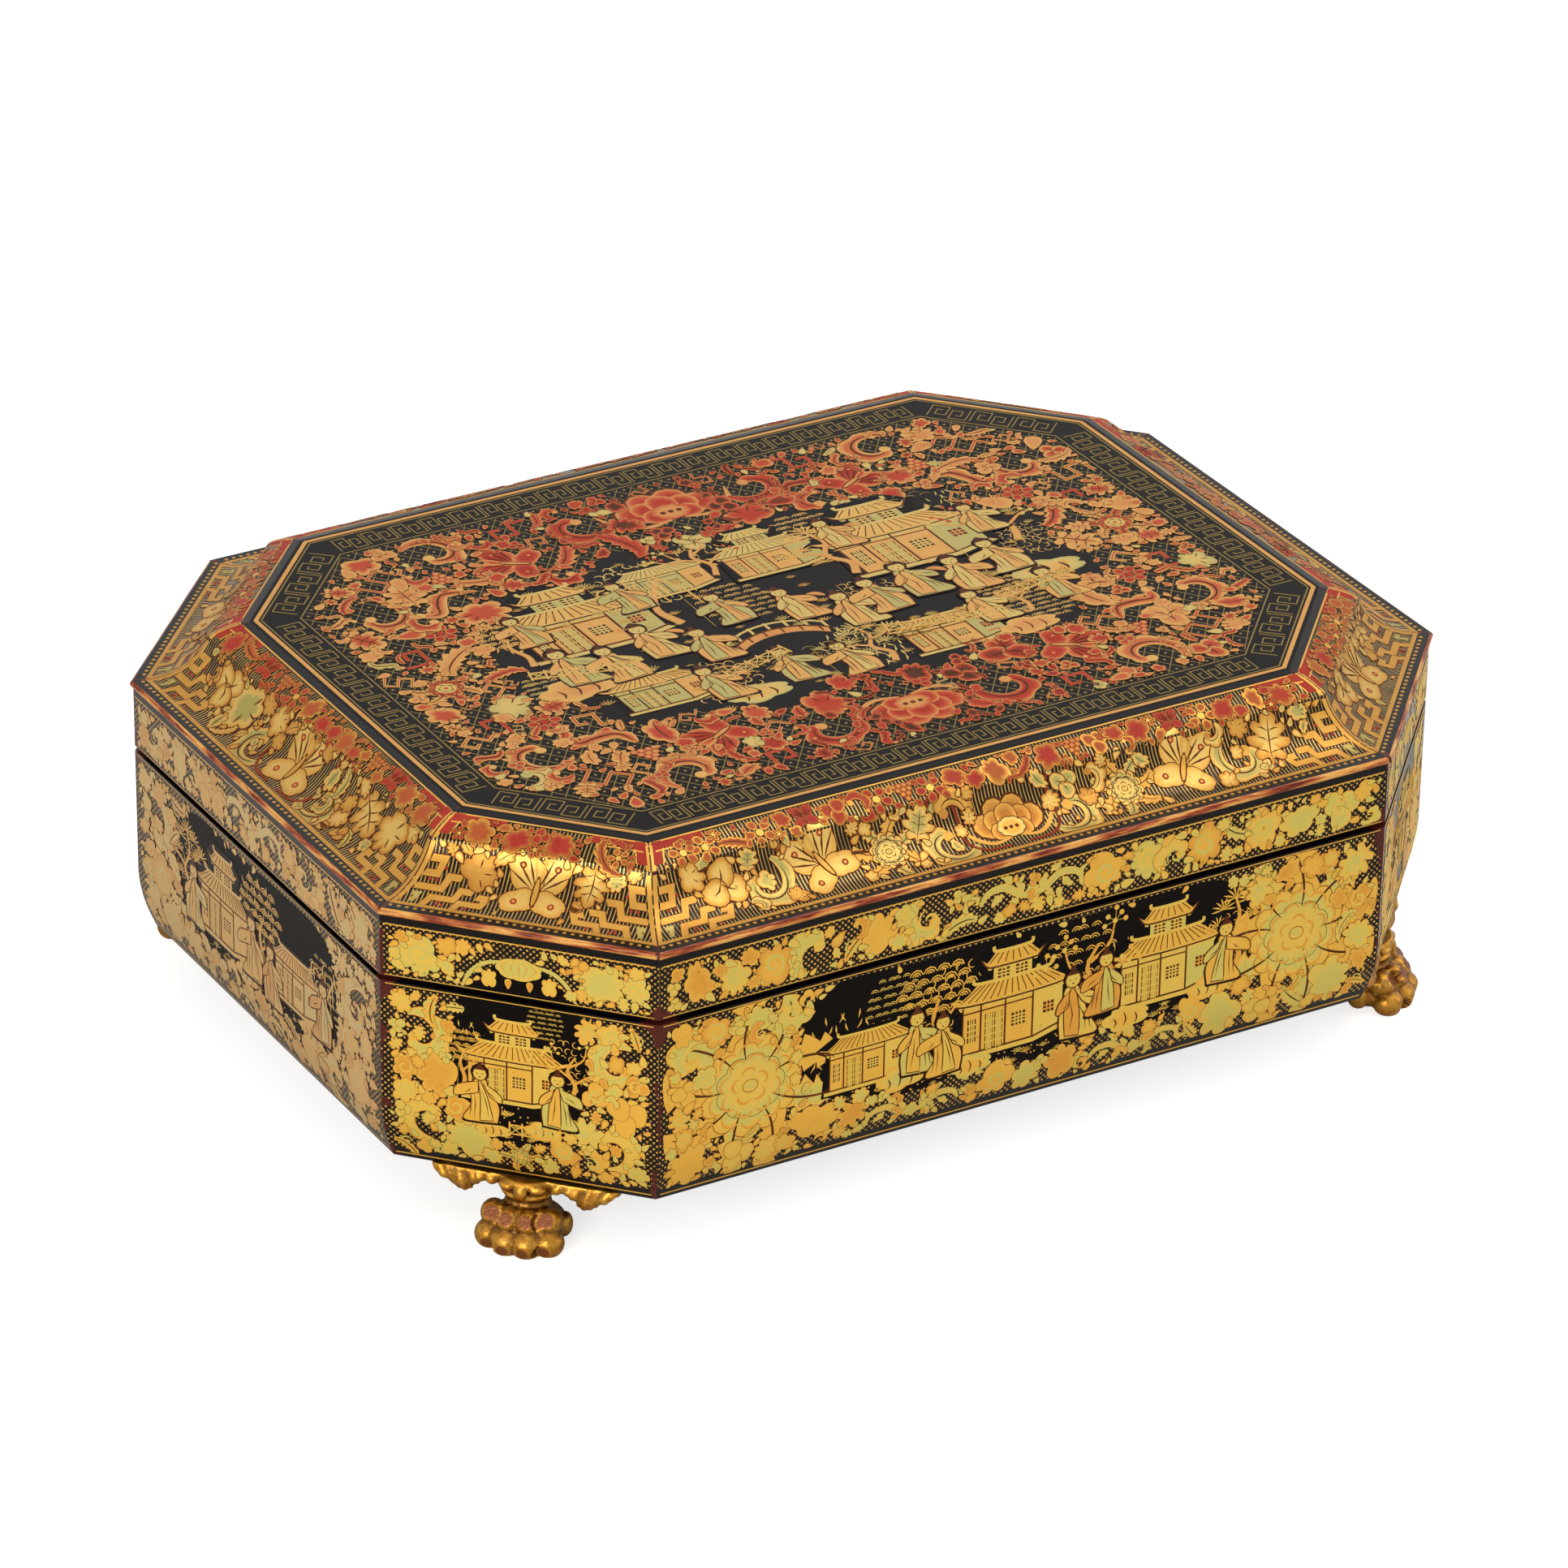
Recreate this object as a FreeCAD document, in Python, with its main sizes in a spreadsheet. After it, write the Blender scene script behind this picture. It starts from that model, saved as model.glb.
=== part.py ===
import FreeCAD, Part
import math
import os
import Sketcher

# Octagonal lacquered games box on four carved paw feet, with a hinged lid whose ogee
# border rises to a flat top panel. Inside are seven lidded counter boxes.
# Millimetres, +Z up, the front faces -Y, the origin lies on the ground under the middle.

doc = FreeCAD.newDocument("games_box")

# Driving dimensions, one named cell each
sheet = doc.addObject("Spreadsheet::Sheet", "Sizes")
DIMENSIONS = (
    ("half_length", 190),        # centre to the lid edge at each end
    ("half_depth", 149),         # centre to the lid edge at the front and back
    ("cant_length", 60),         # how much of the length each cut corner takes
    ("cant_depth", 65),          # how much of the depth each cut corner takes
    ("foot_height", 22),         # ground to the underside of the case
    ("case_height", 64.9),       # underside of the case to the top of its rim
    ("side_inset", 1.0),         # walls stand back from the lid edge by this
    ("wall_thickness", 9),       # case and lid walls
    ("base_curve_height", 22),   # the foot of each wall curves inwards over this height
    ("base_curve_inset", 5),     # and by this much at the underside
    ("rim_step_width", 3),       # outer step of the rim, which leaves the shadow groove
    ("rim_step_height", 1.7),
    ("seam_clearance", 0.1),     # rim to the closed lid
    ("board_thickness", 7),      # bottom board
    ("lid_wall_height", 20.5),
    ("bead_radius", 1.3),        # small half round along the lid edge
    ("margin_width", 4.0),       # flat margin between the lid edge and the cove
    ("cove_width", 19.2),        # hollow part of the ogee, margin to arris
    ("cove_rise", 13.6),
    ("shoulder_width", 12.3),    # upper part of the ogee, arris to panel
    ("shoulder_rise", 4.8),
    ("shoulder_radius", 24),
    ("panel_thickness", 7.5),
    ("panel_joint", 0.1),        # glue line round the top panel
    ("seat_width", 6.5),         # ledge under the edge of the top panel
    ("seat_thickness", 4),
    ("hinge_set_in", 42),        # end of the back side to the middle of each hinge
    ("hinge_length", 38),
    ("leaf_width", 7.7),
    ("leaf_thickness", 1.0),
    ("leaf_clearance", 0.1),     # leaf to its recess in the wall
    ("knuckle_radius", 2.0),
    ("knuckle_clearance", 0.3),  # knuckle to the back of the walls
    ("knuckle_gap", 0.2),        # between neighbouring knuckles
    ("pin_radius", 1.0),
    ("pin_clearance", 0.05),
    ("pin_overhang", 0.6),
    ("screw_radius", 1.1),
    ("screw_head_radius", 2.1),
    ("screw_length", 9),
    ("screw_spacing", 13),
    ("screw_clearance", 0.08),
    ("column_half_width", 60),   # half of the middle column of counter boxes
    ("box_gap", 0.5),            # half of the gap between neighbouring counter boxes
    ("box_clearance", 0.8),      # counter boxes to the case walls
    ("box_height", 46),
    ("box_wall", 3),
    ("box_floor", 3),
    ("lid_plate", 4.5),          # thickness of a counter box lid
    ("lid_tongue", 3),           # depth of the locating tongue under it
    ("tongue_clearance", 0.3),
    ("lid_rounding", 1.2),
    ("ankle_radius", 8.4),
    ("ankle_top_radius", 9.2),
    ("ankle_inset", 10),         # ankle's axis behind the line of the lid edge
    ("paw_half_width", 13),
    ("paw_half_depth", 14),
    ("paw_half_height", 9),
    ("paw_centre_height", 5),
    ("paw_inset", 8),
    ("toe_half_width", 3.7),
    ("toe_half_depth", 7.5),
    ("toe_half_height", 6.5),
    ("toe_centre_height", 6),
    ("toe_inset", -0.5),         # centre of the toes, just outside the lid edge
    ("toe_spacing", 6.7),
    ("outer_toe_set_back", 3),
    ("bracket_half_span", 30.5),
    ("bracket_depth", 9),        # how far the bracket hangs below the case
    ("bracket_tip_depth", 2),
    ("bracket_thickness", 9),
    ("bracket_proud", 1.0),
    ("arch_centre", 12.5),       # arch between the ankle and the wing's pendant lobe
    ("arch_radius", 4),
    ("lobe_width", 6),
)
for row, (alias, number) in enumerate(DIMENSIONS, start=1):
    sheet.set("A%d" % row, alias)
    sheet.set("B%d" % row, str(number))
    sheet.setAlias("B%d" % row, alias)
doc.recompute()


class Term:
    """A length known both as a number and as the sheet expression that gives it."""

    def __init__(self, number, text):
        self.number = float(number)
        self.text = text

    def __add__(self, other):
        other = term(other)
        return Term(self.number + other.number, "(%s + %s)" % (self.text, other.text))

    def __radd__(self, other):
        return term(other) + self

    def __sub__(self, other):
        other = term(other)
        return Term(self.number - other.number, "(%s - %s)" % (self.text, other.text))

    def __rsub__(self, other):
        return term(other) - self

    def __mul__(self, other):
        other = term(other)
        return Term(self.number * other.number, "(%s * %s)" % (self.text, other.text))

    def __rmul__(self, other):
        return term(other) * self

    def __truediv__(self, other):
        other = term(other)
        return Term(self.number / other.number, "(%s / %s)" % (self.text, other.text))

    def __neg__(self):
        return Term(-self.number, "(0 - %s)" % self.text)


def term(value):
    return value if isinstance(value, Term) else Term(value, repr(float(value)))


def root(value):
    return Term(math.sqrt(value.number), "sqrt(%s)" % value.text)


def arc_tangent(rise, run):
    """Angle in degrees, with its expression."""
    angle = math.degrees(math.atan2(rise.number, run.number))
    return Term(angle, "(atan(%s / %s) / 1 deg)" % (rise.text, run.text))


SIZE = {alias: Term(number, "Sizes." + alias) for alias, number in DIMENSIONS}


# Heights and insets that several pieces share
underside = SIZE["foot_height"]
rim_top = underside + SIZE["case_height"]
rim_step = rim_top - SIZE["rim_step_height"]
lid_bottom = rim_top + SIZE["seam_clearance"]
moulding_bottom = lid_bottom + SIZE["lid_wall_height"]
margin_height = moulding_bottom + 2 * SIZE["bead_radius"]
arris_height = margin_height + SIZE["cove_rise"]
top_face = arris_height + SIZE["shoulder_rise"]
panel_seat = top_face - SIZE["panel_thickness"]
case_floor = underside + SIZE["board_thickness"]
outer_inset = SIZE["side_inset"]
inner_inset = outer_inset + SIZE["wall_thickness"]
arris_inset = SIZE["margin_width"] + SIZE["cove_width"]
panel_inset = arris_inset + SIZE["shoulder_width"]
foot_inset = outer_inset + SIZE["base_curve_inset"]

# The cut corners of the octagon, and how its corners draw in with the inset
cant = root(SIZE["cant_length"] * SIZE["cant_length"] + SIZE["cant_depth"] * SIZE["cant_depth"])
long_mitre = (cant - SIZE["cant_length"]) / SIZE["cant_depth"]
short_mitre = (cant - SIZE["cant_depth"]) / SIZE["cant_length"]
cant_angle = arc_tangent(SIZE["cant_depth"], SIZE["cant_length"])


def long_corner(inset):
    """Half length of the front and back sides of the octagon at an inset."""
    return SIZE["half_length"] - SIZE["cant_length"] - long_mitre * inset


def short_corner(inset):
    """Half length of the end sides of the octagon at an inset."""
    return SIZE["half_depth"] - SIZE["cant_depth"] - short_mitre * inset


# Side name, length of the side, mitres at its two ends, middle of its outer line, turn
long_side = 2 * (SIZE["half_length"] - SIZE["cant_length"])
short_side = 2 * (SIZE["half_depth"] - SIZE["cant_depth"])
cant_x = SIZE["half_length"] - SIZE["cant_length"] / 2
cant_y = SIZE["half_depth"] - SIZE["cant_depth"] / 2
SIDES = (
    ("front", long_side, long_mitre, long_mitre, term(0), -SIZE["half_depth"], term(0)),
    ("front_right", cant, long_mitre, short_mitre, cant_x, -cant_y, cant_angle),
    ("right", short_side, short_mitre, short_mitre, SIZE["half_length"], term(0), term(90)),
    ("back_right", cant, short_mitre, long_mitre, cant_x, cant_y, 180 - cant_angle),
    ("back", long_side, long_mitre, long_mitre, term(0), SIZE["half_depth"], term(180)),
    ("back_left", cant, long_mitre, short_mitre, -cant_x, cant_y, 180 + cant_angle),
    ("left", short_side, short_mitre, short_mitre, -SIZE["half_length"], term(0), term(270)),
    ("front_left", cant, short_mitre, long_mitre, -cant_x, -cant_y, 360 - cant_angle),
)
pieces = []


def new_body(label):
    body = doc.addObject("PartDesign::Body", label)
    body.Label = label
    pieces.append(body)
    return body


def place(piece, x=None, y=None, z=None, turn=None):
    """Move a piece to where it stands, and turn it about the upright axis."""
    for axis, value in (("x", x), ("y", y), ("z", z)):
        if value is not None:
            piece.setExpression("Placement.Base." + axis, term(value).text)
    if turn is not None:
        piece.setExpression("Placement.Rotation.Axis.x", "0")
        piece.setExpression("Placement.Rotation.Axis.y", "0")
        piece.setExpression("Placement.Rotation.Axis.z", "1")
        piece.setExpression("Placement.Rotation.Angle", turn.text)


def new_sketch(body, role, offset=None):
    """An empty sketch on one of the body's origin planes, lifted off it by an offset."""
    plane = [item for item in body.Origin.OriginFeatures if item.Role == role][0]
    sketch = body.newObject("Sketcher::SketchObject", body.Label + "_sketch")
    sketch.AttachmentSupport = [(plane, "")]
    sketch.MapMode = "FlatFace"
    if offset is not None:
        sketch.setExpression("AttachmentOffset.Base.z", term(offset).text)
    return sketch


def fix_point(sketch, item, end, place_x, place_y):
    """Hold a point of a sketch at a place that the sheet gives."""
    for kind, value in (("DistanceX", place_x), ("DistanceY", place_y)):
        if value is not None:
            number = term(value).number
            index = sketch.addConstraint(Sketcher.Constraint(kind, -1, 1, item, end, number))
            sketch.setExpression("Constraints[%d]" % index, term(value).text)


def outline(sketch, corners):
    """Closed outline. A corner is (x, y), or (x, y, centre x, centre y, anticlockwise)
    where an arc leads from it to the next corner."""
    count = len(corners)
    start = sketch.GeometryCount
    for number, corner in enumerate(corners):
        following = corners[(number + 1) % count]
        here = FreeCAD.Vector(term(corner[0]).number, term(corner[1]).number, 0)
        there = FreeCAD.Vector(term(following[0]).number, term(following[1]).number, 0)
        if len(corner) == 2:
            sketch.addGeometry(Part.LineSegment(here, there), False)
            continue
        centre = FreeCAD.Vector(term(corner[2]).number, term(corner[3]).number, 0)
        circle = Part.Circle(centre, FreeCAD.Vector(0, 0, 1), (here - centre).Length)
        angles = [math.atan2(p.y - centre.y, p.x - centre.x) for p in (here, there)]
        if not corner[4]:
            angles.reverse()
        sketch.addGeometry(Part.ArcOfCircle(circle, angles[0], angles[1]), False)
    for number, corner in enumerate(corners):
        following = (number + 1) % count
        clockwise = len(corner) == 5 and not corner[4]
        next_clockwise = len(corners[following]) == 5 and not corners[following][4]
        last_end = 1 if clockwise else 2
        first_end = 2 if next_clockwise else 1
        sketch.addConstraint(Sketcher.Constraint(
            "Coincident", start + number, last_end, start + following, first_end))
    for number, corner in enumerate(corners):
        clockwise = len(corner) == 5 and not corner[4]
        fix_point(sketch, start + number, 2 if clockwise else 1, corner[0], corner[1])
        if len(corner) == 5:
            following = corners[(number + 1) % count]
            rise = abs(term(following[1]).number - term(corner[1]).number)
            run = abs(term(following[0]).number - term(corner[0]).number)
            upright = rise > run
            fix_point(sketch, start + number, 3,
                      corner[2] if upright else None, None if upright else corner[3])


def circle(sketch, x, y, radius):
    centre = FreeCAD.Vector(term(x).number, term(y).number, 0)
    shape = Part.Circle(centre, FreeCAD.Vector(0, 0, 1), radius.number)
    item = sketch.addGeometry(shape, False)
    index = sketch.addConstraint(Sketcher.Constraint("Radius", item, radius.number))
    sketch.setExpression("Constraints[%d]" % index, radius.text)
    fix_point(sketch, item, 3, x, y)


def pad(body, sketch, length, symmetric=False, downwards=False):
    feature = body.newObject("PartDesign::Pad", body.Label + "_pad")
    feature.Profile = sketch
    feature.setExpression("Length", term(length).text)
    feature.SideType = "Symmetric" if symmetric else "One side"
    feature.Reversed = downwards
    body.Tip = feature
    return feature


def pocket_through(body, sketch):
    """Cut the outline right through the body, both ways from its plane."""
    feature = body.newObject("PartDesign::Pocket", body.Label + "_pocket")
    feature.Profile = sketch
    feature.SideType = "Symmetric"
    feature.Type = "ThroughAll"
    body.Tip = feature


def pocket(body, sketch, length, upwards=False):
    feature = body.newObject("PartDesign::Pocket", body.Label + "_pocket")
    feature.Profile = sketch
    feature.setExpression("Length", term(length).text)
    feature.Reversed = upwards
    body.Tip = feature


def rectangle(sketch, low_x, high_x, low_y, high_y):
    outline(sketch, ((low_x, low_y), (high_x, low_y), (high_x, high_y), (low_x, high_y)))


# Long pieces that run round the octagon, mitred at each corner
def side_piece(name, side, profile, depth):
    """One side's length of a profile given as (inset, height), with mitred ends."""
    side_name, length, mitre_low, mitre_high, x, y, turn = side
    body = new_body(name + "_" + side_name)
    section = new_sketch(body, "YZ_Plane")
    outline(section, profile)
    pad(body, section, length, symmetric=True)
    ends = new_sketch(body, "XY_Plane")
    half = length / 2
    past = half + SIZE["bead_radius"]
    outline(ends, ((half, 0), (half - mitre_high * depth, depth), (past, depth), (past, 0)))
    outline(ends, ((-half, 0), (mitre_low * depth - half, depth), (-past, depth), (-past, 0)))
    pocket_through(body, ends)
    place(body, x, y, None, turn)
    return body


# Case walls: upright, then curving inwards at the foot, with a stepped rim
curve_width = SIZE["base_curve_inset"]
curve_height = SIZE["base_curve_height"]
curve_radius = (curve_height * curve_height + curve_width * curve_width) / (2 * curve_width)
curve_top = underside + curve_height
rim_inset = outer_inset + SIZE["rim_step_width"]
case_profile = (
    (foot_inset, underside, outer_inset + curve_radius, curve_top, False),
    (outer_inset, curve_top),
    (outer_inset, rim_step),
    (rim_inset, rim_step),
    (rim_inset, rim_top),
    (inner_inset, rim_top),
    (inner_inset, underside),
)

# Lid walls: plain boards
lid_profile = (
    (outer_inset, lid_bottom),
    (outer_inset, moulding_bottom),
    (inner_inset, moulding_bottom),
    (inner_inset, lid_bottom),
)

# Ogee border: bead, flat margin, hollow cove, arris, rounded shoulder, seat for the panel
bead = SIZE["bead_radius"]
cove_width = SIZE["cove_width"]
cove_rise = SIZE["cove_rise"]
cove_radius = (cove_width * cove_width + cove_rise * cove_rise) / (2 * cove_rise)
shoulder_width = SIZE["shoulder_width"]
shoulder_rise = SIZE["shoulder_rise"]
chord = root(shoulder_width * shoulder_width + shoulder_rise * shoulder_rise)
shoulder_depth = root(
    SIZE["shoulder_radius"] * SIZE["shoulder_radius"] - chord * chord / 4) / chord
shoulder_x = arris_inset + shoulder_width / 2 + shoulder_rise * shoulder_depth
shoulder_y = arris_height + shoulder_rise / 2 - shoulder_width * shoulder_depth
seat_inset = panel_inset + SIZE["seat_width"]
ogee_profile = (
    (bead, moulding_bottom, bead, moulding_bottom + bead, False),
    (bead, margin_height),
    (SIZE["margin_width"], margin_height, SIZE["margin_width"], margin_height + cove_radius, True),
    (arris_inset, arris_height, shoulder_x, shoulder_y, False),
    (panel_inset, top_face),
    (panel_inset, panel_seat),
    (seat_inset, panel_seat),
    (seat_inset, panel_seat - SIZE["seat_thickness"]),
    (inner_inset, moulding_bottom),
)

case_walls = {}
lid_walls = {}
for side in SIDES:
    case_walls[side[0]] = side_piece("case_wall", side, case_profile, inner_inset)
for side in SIDES:
    lid_walls[side[0]] = side_piece("lid_wall", side, lid_profile, inner_inset)
for side in SIDES:
    side_piece("ogee_border", side, ogee_profile, seat_inset)


# Flat octagonal boards
def board(label, inset, low, thickness):
    body = new_body(label)
    plan = new_sketch(body, "XY_Plane", low)
    x = SIZE["half_length"] - inset
    y = SIZE["half_depth"] - inset
    along = long_corner(inset)
    across = short_corner(inset)
    outline(plan, (
        (-along, -y), (along, -y), (x, -across), (x, across),
        (along, y), (-along, y), (-x, across), (-x, -across)))
    pad(body, plan, thickness)
    return body


board("bottom_board", inner_inset, underside, SIZE["board_thickness"])
board("top_panel", panel_inset + SIZE["panel_joint"], panel_seat, SIZE["panel_thickness"])


# Hinges: two butt hinges let into the back of the rim and of the lid
hinge_middle = SIZE["half_length"] - SIZE["cant_length"] - SIZE["hinge_set_in"]
hinge_axis_inset = outer_inset - SIZE["knuckle_radius"] - SIZE["knuckle_clearance"]
hinge_y = SIZE["half_depth"] - hinge_axis_inset
hinge_z = rim_top + SIZE["seam_clearance"] / 2
leaf_front = SIZE["half_depth"] - outer_inset - SIZE["leaf_width"]
leaf_back = SIZE["half_depth"] - outer_inset - SIZE["knuckle_clearance"]
screw_y = SIZE["half_depth"] - outer_inset - SIZE["leaf_width"] / 2
KNUCKLES = 5
segment = SIZE["hinge_length"] / KNUCKLES
SCREWS_PER_LEAF = (-1, 0, 1)


def recess(body, low, height):
    """Cut the beds of both hinge leaves into the back wall that carries them."""
    for sign in (-1, 1):
        bed = new_sketch(body, "XY_Plane", low)
        middle = sign * hinge_middle
        half = SIZE["hinge_length"] / 2 + SIZE["leaf_clearance"]
        depth = outer_inset + SIZE["leaf_width"] + SIZE["leaf_clearance"]
        rectangle(bed, middle - half, middle + half, term(0), depth)
        pocket(body, bed, height, upwards=True)


def hinge_leaf(label, sign, low, own, screws_up):
    """A leaf with its share of the knuckles; own says which segments are its."""
    body = new_body(label)
    plan = new_sketch(body, "XY_Plane", low)
    half = SIZE["hinge_length"] / 2
    corners = [(-half, leaf_front), (-half, leaf_back)]
    for number in range(KNUCKLES):
        if number in own:
            start = number * segment - half + SIZE["knuckle_gap"] / 2
            end = (number + 1) * segment - half - SIZE["knuckle_gap"] / 2
            corners += [(start, leaf_back), (start, hinge_y), (end, hinge_y), (end, leaf_back)]
    corners += [(half, leaf_back), (half, leaf_front)]
    outline(plan, corners)
    pad(body, plan, SIZE["leaf_thickness"])
    for number in own:
        ring = new_sketch(body, "YZ_Plane", number * segment - half + SIZE["knuckle_gap"] / 2)
        circle(ring, hinge_y, hinge_z, SIZE["knuckle_radius"])
        pad(body, ring, segment - SIZE["knuckle_gap"])
    bore = new_sketch(body, "YZ_Plane")
    circle(bore, hinge_y, hinge_z, SIZE["pin_radius"] + SIZE["pin_clearance"])
    pocket_through(body, bore)
    for step in SCREWS_PER_LEAF:
        sink = body.newObject("PartDesign::SubtractiveCone", label + "_countersink")
        wide = (SIZE["screw_head_radius"] + SIZE["screw_clearance"]).text
        narrow = (SIZE["screw_radius"] + SIZE["screw_clearance"]).text
        sink.setExpression("Radius1", wide if screws_up else narrow)
        sink.setExpression("Radius2", narrow if screws_up else wide)
        sink.setExpression("Height", SIZE["leaf_thickness"].text)
        place(sink, step * SIZE["screw_spacing"], screw_y, low)
        body.Tip = sink
    place(body, sign * hinge_middle)


def hinge_pin(label, sign):
    body = new_body(label)
    section = new_sketch(body, "YZ_Plane")
    circle(section, hinge_y, hinge_z, SIZE["pin_radius"])
    pad(body, section, SIZE["hinge_length"] + 2 * SIZE["pin_overhang"], symmetric=True)
    place(body, sign * hinge_middle)


def hinge_screws(label, low, up):
    """All countersunk screws of the case leaves or of the lid leaves, as one group."""
    head = SIZE["leaf_thickness"].number
    direction = FreeCAD.Vector(0, 0, 1 if up else -1)
    solids = []
    for sign in (-1, 1):
        for step in SCREWS_PER_LEAF:
            x = sign * hinge_middle.number + step * SIZE["screw_spacing"].number
            base = FreeCAD.Vector(x, screw_y.number, low.number)
            cone = Part.makeCone(
                SIZE["screw_head_radius"].number, SIZE["screw_radius"].number, head, base, direction)
            shank = Part.makeCylinder(
                SIZE["screw_radius"].number, SIZE["screw_length"].number - head,
                base + direction * head, direction)
            solids.append(cone.fuse(shank).removeSplitter())
    group = doc.addObject("Part::Feature", label)
    group.Label = label
    group.Shape = Part.makeCompound(solids)
    pieces.append(group)


case_leaf_low = rim_top - SIZE["leaf_thickness"]
recess(case_walls["back"], case_leaf_low, SIZE["leaf_thickness"] + SIZE["seam_clearance"])
recess(lid_walls["back"], lid_bottom - SIZE["seam_clearance"],
       SIZE["leaf_thickness"] + SIZE["seam_clearance"])
for name, sign in (("left", -1), ("right", 1)):
    hinge_leaf("hinge_case_leaf_" + name, sign, case_leaf_low, (0, 2, 4), False)
    hinge_leaf("hinge_lid_leaf_" + name, sign, lid_bottom, (1, 3), True)
    hinge_pin("hinge_pin_" + name, sign)
hinge_screws("hinge_screws_case", rim_top, False)
hinge_screws("hinge_screws_lid", lid_bottom, True)


# Counter boxes: four at the corners with one corner cut, three down the middle
def corner_plan(sign_x, sign_y, wall):
    """Outline of a corner box, drawn in by a wall thickness."""
    inset = inner_inset + SIZE["box_clearance"] + wall
    x = SIZE["half_length"] - inset
    y = SIZE["half_depth"] - inset
    low_x = SIZE["column_half_width"] + SIZE["box_gap"] + wall
    low_y = SIZE["box_gap"] + wall
    plan = ((low_x, low_y), (x, low_y), (x, short_corner(inset)), (long_corner(inset), y), (low_x, y))
    return [(sign_x * px, sign_y * py) for px, py in plan]


def middle_plan(place_number, wall):
    """Outline of a box of the middle column; place_number is -1, 0 or 1 from the front."""
    reach = SIZE["half_depth"] - inner_inset - SIZE["box_clearance"]
    depth = (2 * reach - 4 * SIZE["box_gap"]) / 3
    middle = place_number * (depth + 2 * SIZE["box_gap"])
    x = SIZE["column_half_width"] - SIZE["box_gap"] - wall
    low = middle - depth / 2 + wall
    high = middle + depth / 2 - wall
    return [(-x, low), (x, low), (x, high), (-x, high)]


def counter_box(name, plan):
    """An open box and its flat lid, which a tongue underneath locates in the box."""
    box = new_body("counter_box_" + name)
    outside = new_sketch(box, "XY_Plane", case_floor)
    outline(outside, plan(term(0)))
    pad(box, outside, SIZE["box_height"])
    inside = new_sketch(box, "XY_Plane", case_floor + SIZE["box_floor"])
    outline(inside, plan(SIZE["box_wall"]))
    pocket(box, inside, SIZE["box_height"] - SIZE["box_floor"], upwards=True)

    lid = new_body("counter_lid_" + name)
    low = case_floor + SIZE["box_height"]
    plate = new_sketch(lid, "XY_Plane", low)
    outline(plate, plan(term(0)))
    top = pad(lid, plate, SIZE["lid_plate"])
    doc.recompute()
    level = (low + SIZE["lid_plate"]).number
    edges = [
        "Edge%d" % number
        for number, edge in enumerate(top.Shape.Edges, start=1)
        if all(abs(vertex.Z - level) < 0.001 for vertex in edge.Vertexes)
    ]
    rounding = lid.newObject("PartDesign::Fillet", lid.Label + "_rounding")
    rounding.Base = (top, edges)
    rounding.setExpression("Radius", SIZE["lid_rounding"].text)
    lid.Tip = rounding
    tongue = new_sketch(lid, "XY_Plane", low)
    outline(tongue, plan(SIZE["box_wall"] + SIZE["tongue_clearance"]))
    pad(lid, tongue, SIZE["lid_tongue"], downwards=True)


for name, sign_x, sign_y in (
    ("front_left", -1, -1), ("front_right", 1, -1), ("back_left", -1, 1), ("back_right", 1, 1),
):
    counter_box(name, lambda wall, sx=sign_x, sy=sign_y: corner_plan(sx, sy, wall))
for name, place_number in (("middle_front", -1), ("middle_centre", 0), ("middle_back", 1)):
    counter_box(name, lambda wall, spot=place_number: middle_plan(spot, wall))


# Feet: a bracket with pendant wings under each cut corner, an ankle and a paw with toes
def ellipsoid(body, half_width, half_depth, half_height, x, y, z):
    lump = body.newObject("PartDesign::AdditiveEllipsoid", body.Label + "_lump")
    lump.setExpression("Radius1", half_height.text)
    lump.setExpression("Radius2", half_width.text)
    lump.setExpression("Radius3", half_depth.text)
    place(lump, x, y, z)
    body.Tip = lump


def foot(label, side):
    """Built with the outside of the foot facing -Y, then turned to its cut corner."""
    x, y, turn = side[4:]
    body = new_body(label)
    bracket_front = foot_inset - SIZE["bracket_proud"]
    wing = new_sketch(body, "XZ_Plane", -bracket_front)
    span = SIZE["bracket_half_span"]
    tip = underside - SIZE["bracket_tip_depth"]
    deep = underside - SIZE["bracket_depth"]
    arch = SIZE["arch_centre"]
    reach = SIZE["arch_radius"]
    lobe = arch + reach + SIZE["lobe_width"]
    outline(wing, (
        (-span, underside), (-span, tip), (-lobe, deep),
        (-arch - reach, deep, -arch, deep, False), (reach - arch, deep),
        (arch - reach, deep, arch, deep, False), (arch + reach, deep),
        (lobe, deep), (span, tip), (span, underside)))
    pad(body, wing, SIZE["bracket_thickness"], downwards=True)

    ankle = body.newObject("PartDesign::AdditiveCone", label + "_ankle")
    ankle.setExpression("Radius1", SIZE["ankle_radius"].text)
    ankle.setExpression("Radius2", SIZE["ankle_top_radius"].text)
    ankle.setExpression("Height", (underside - SIZE["paw_centre_height"]).text)
    place(ankle, 0, SIZE["ankle_inset"], SIZE["paw_centre_height"])
    body.Tip = ankle
    ellipsoid(body, SIZE["paw_half_width"], SIZE["paw_half_depth"], SIZE["paw_half_height"],
              0, SIZE["paw_inset"], SIZE["paw_centre_height"])
    for step in (-1.5, -0.5, 0.5, 1.5):
        back = SIZE["outer_toe_set_back"] if abs(step) > 1 else 0
        ellipsoid(body, SIZE["toe_half_width"], SIZE["toe_half_depth"], SIZE["toe_half_height"],
                  step * SIZE["toe_spacing"], SIZE["toe_inset"] + back, SIZE["toe_centre_height"])

    sole = body.newObject("PartDesign::SubtractiveBox", label + "_sole")
    for size_name in ("Length", "Width", "Height"):
        sole.setExpression(size_name, (2 * span).text)
    place(sole, -span, -span, -2 * span)
    body.Tip = sole
    place(body, x, y, None, turn)


for side in SIDES:
    if "_" in side[0]:
        foot("foot_" + side[0], side)


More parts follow.
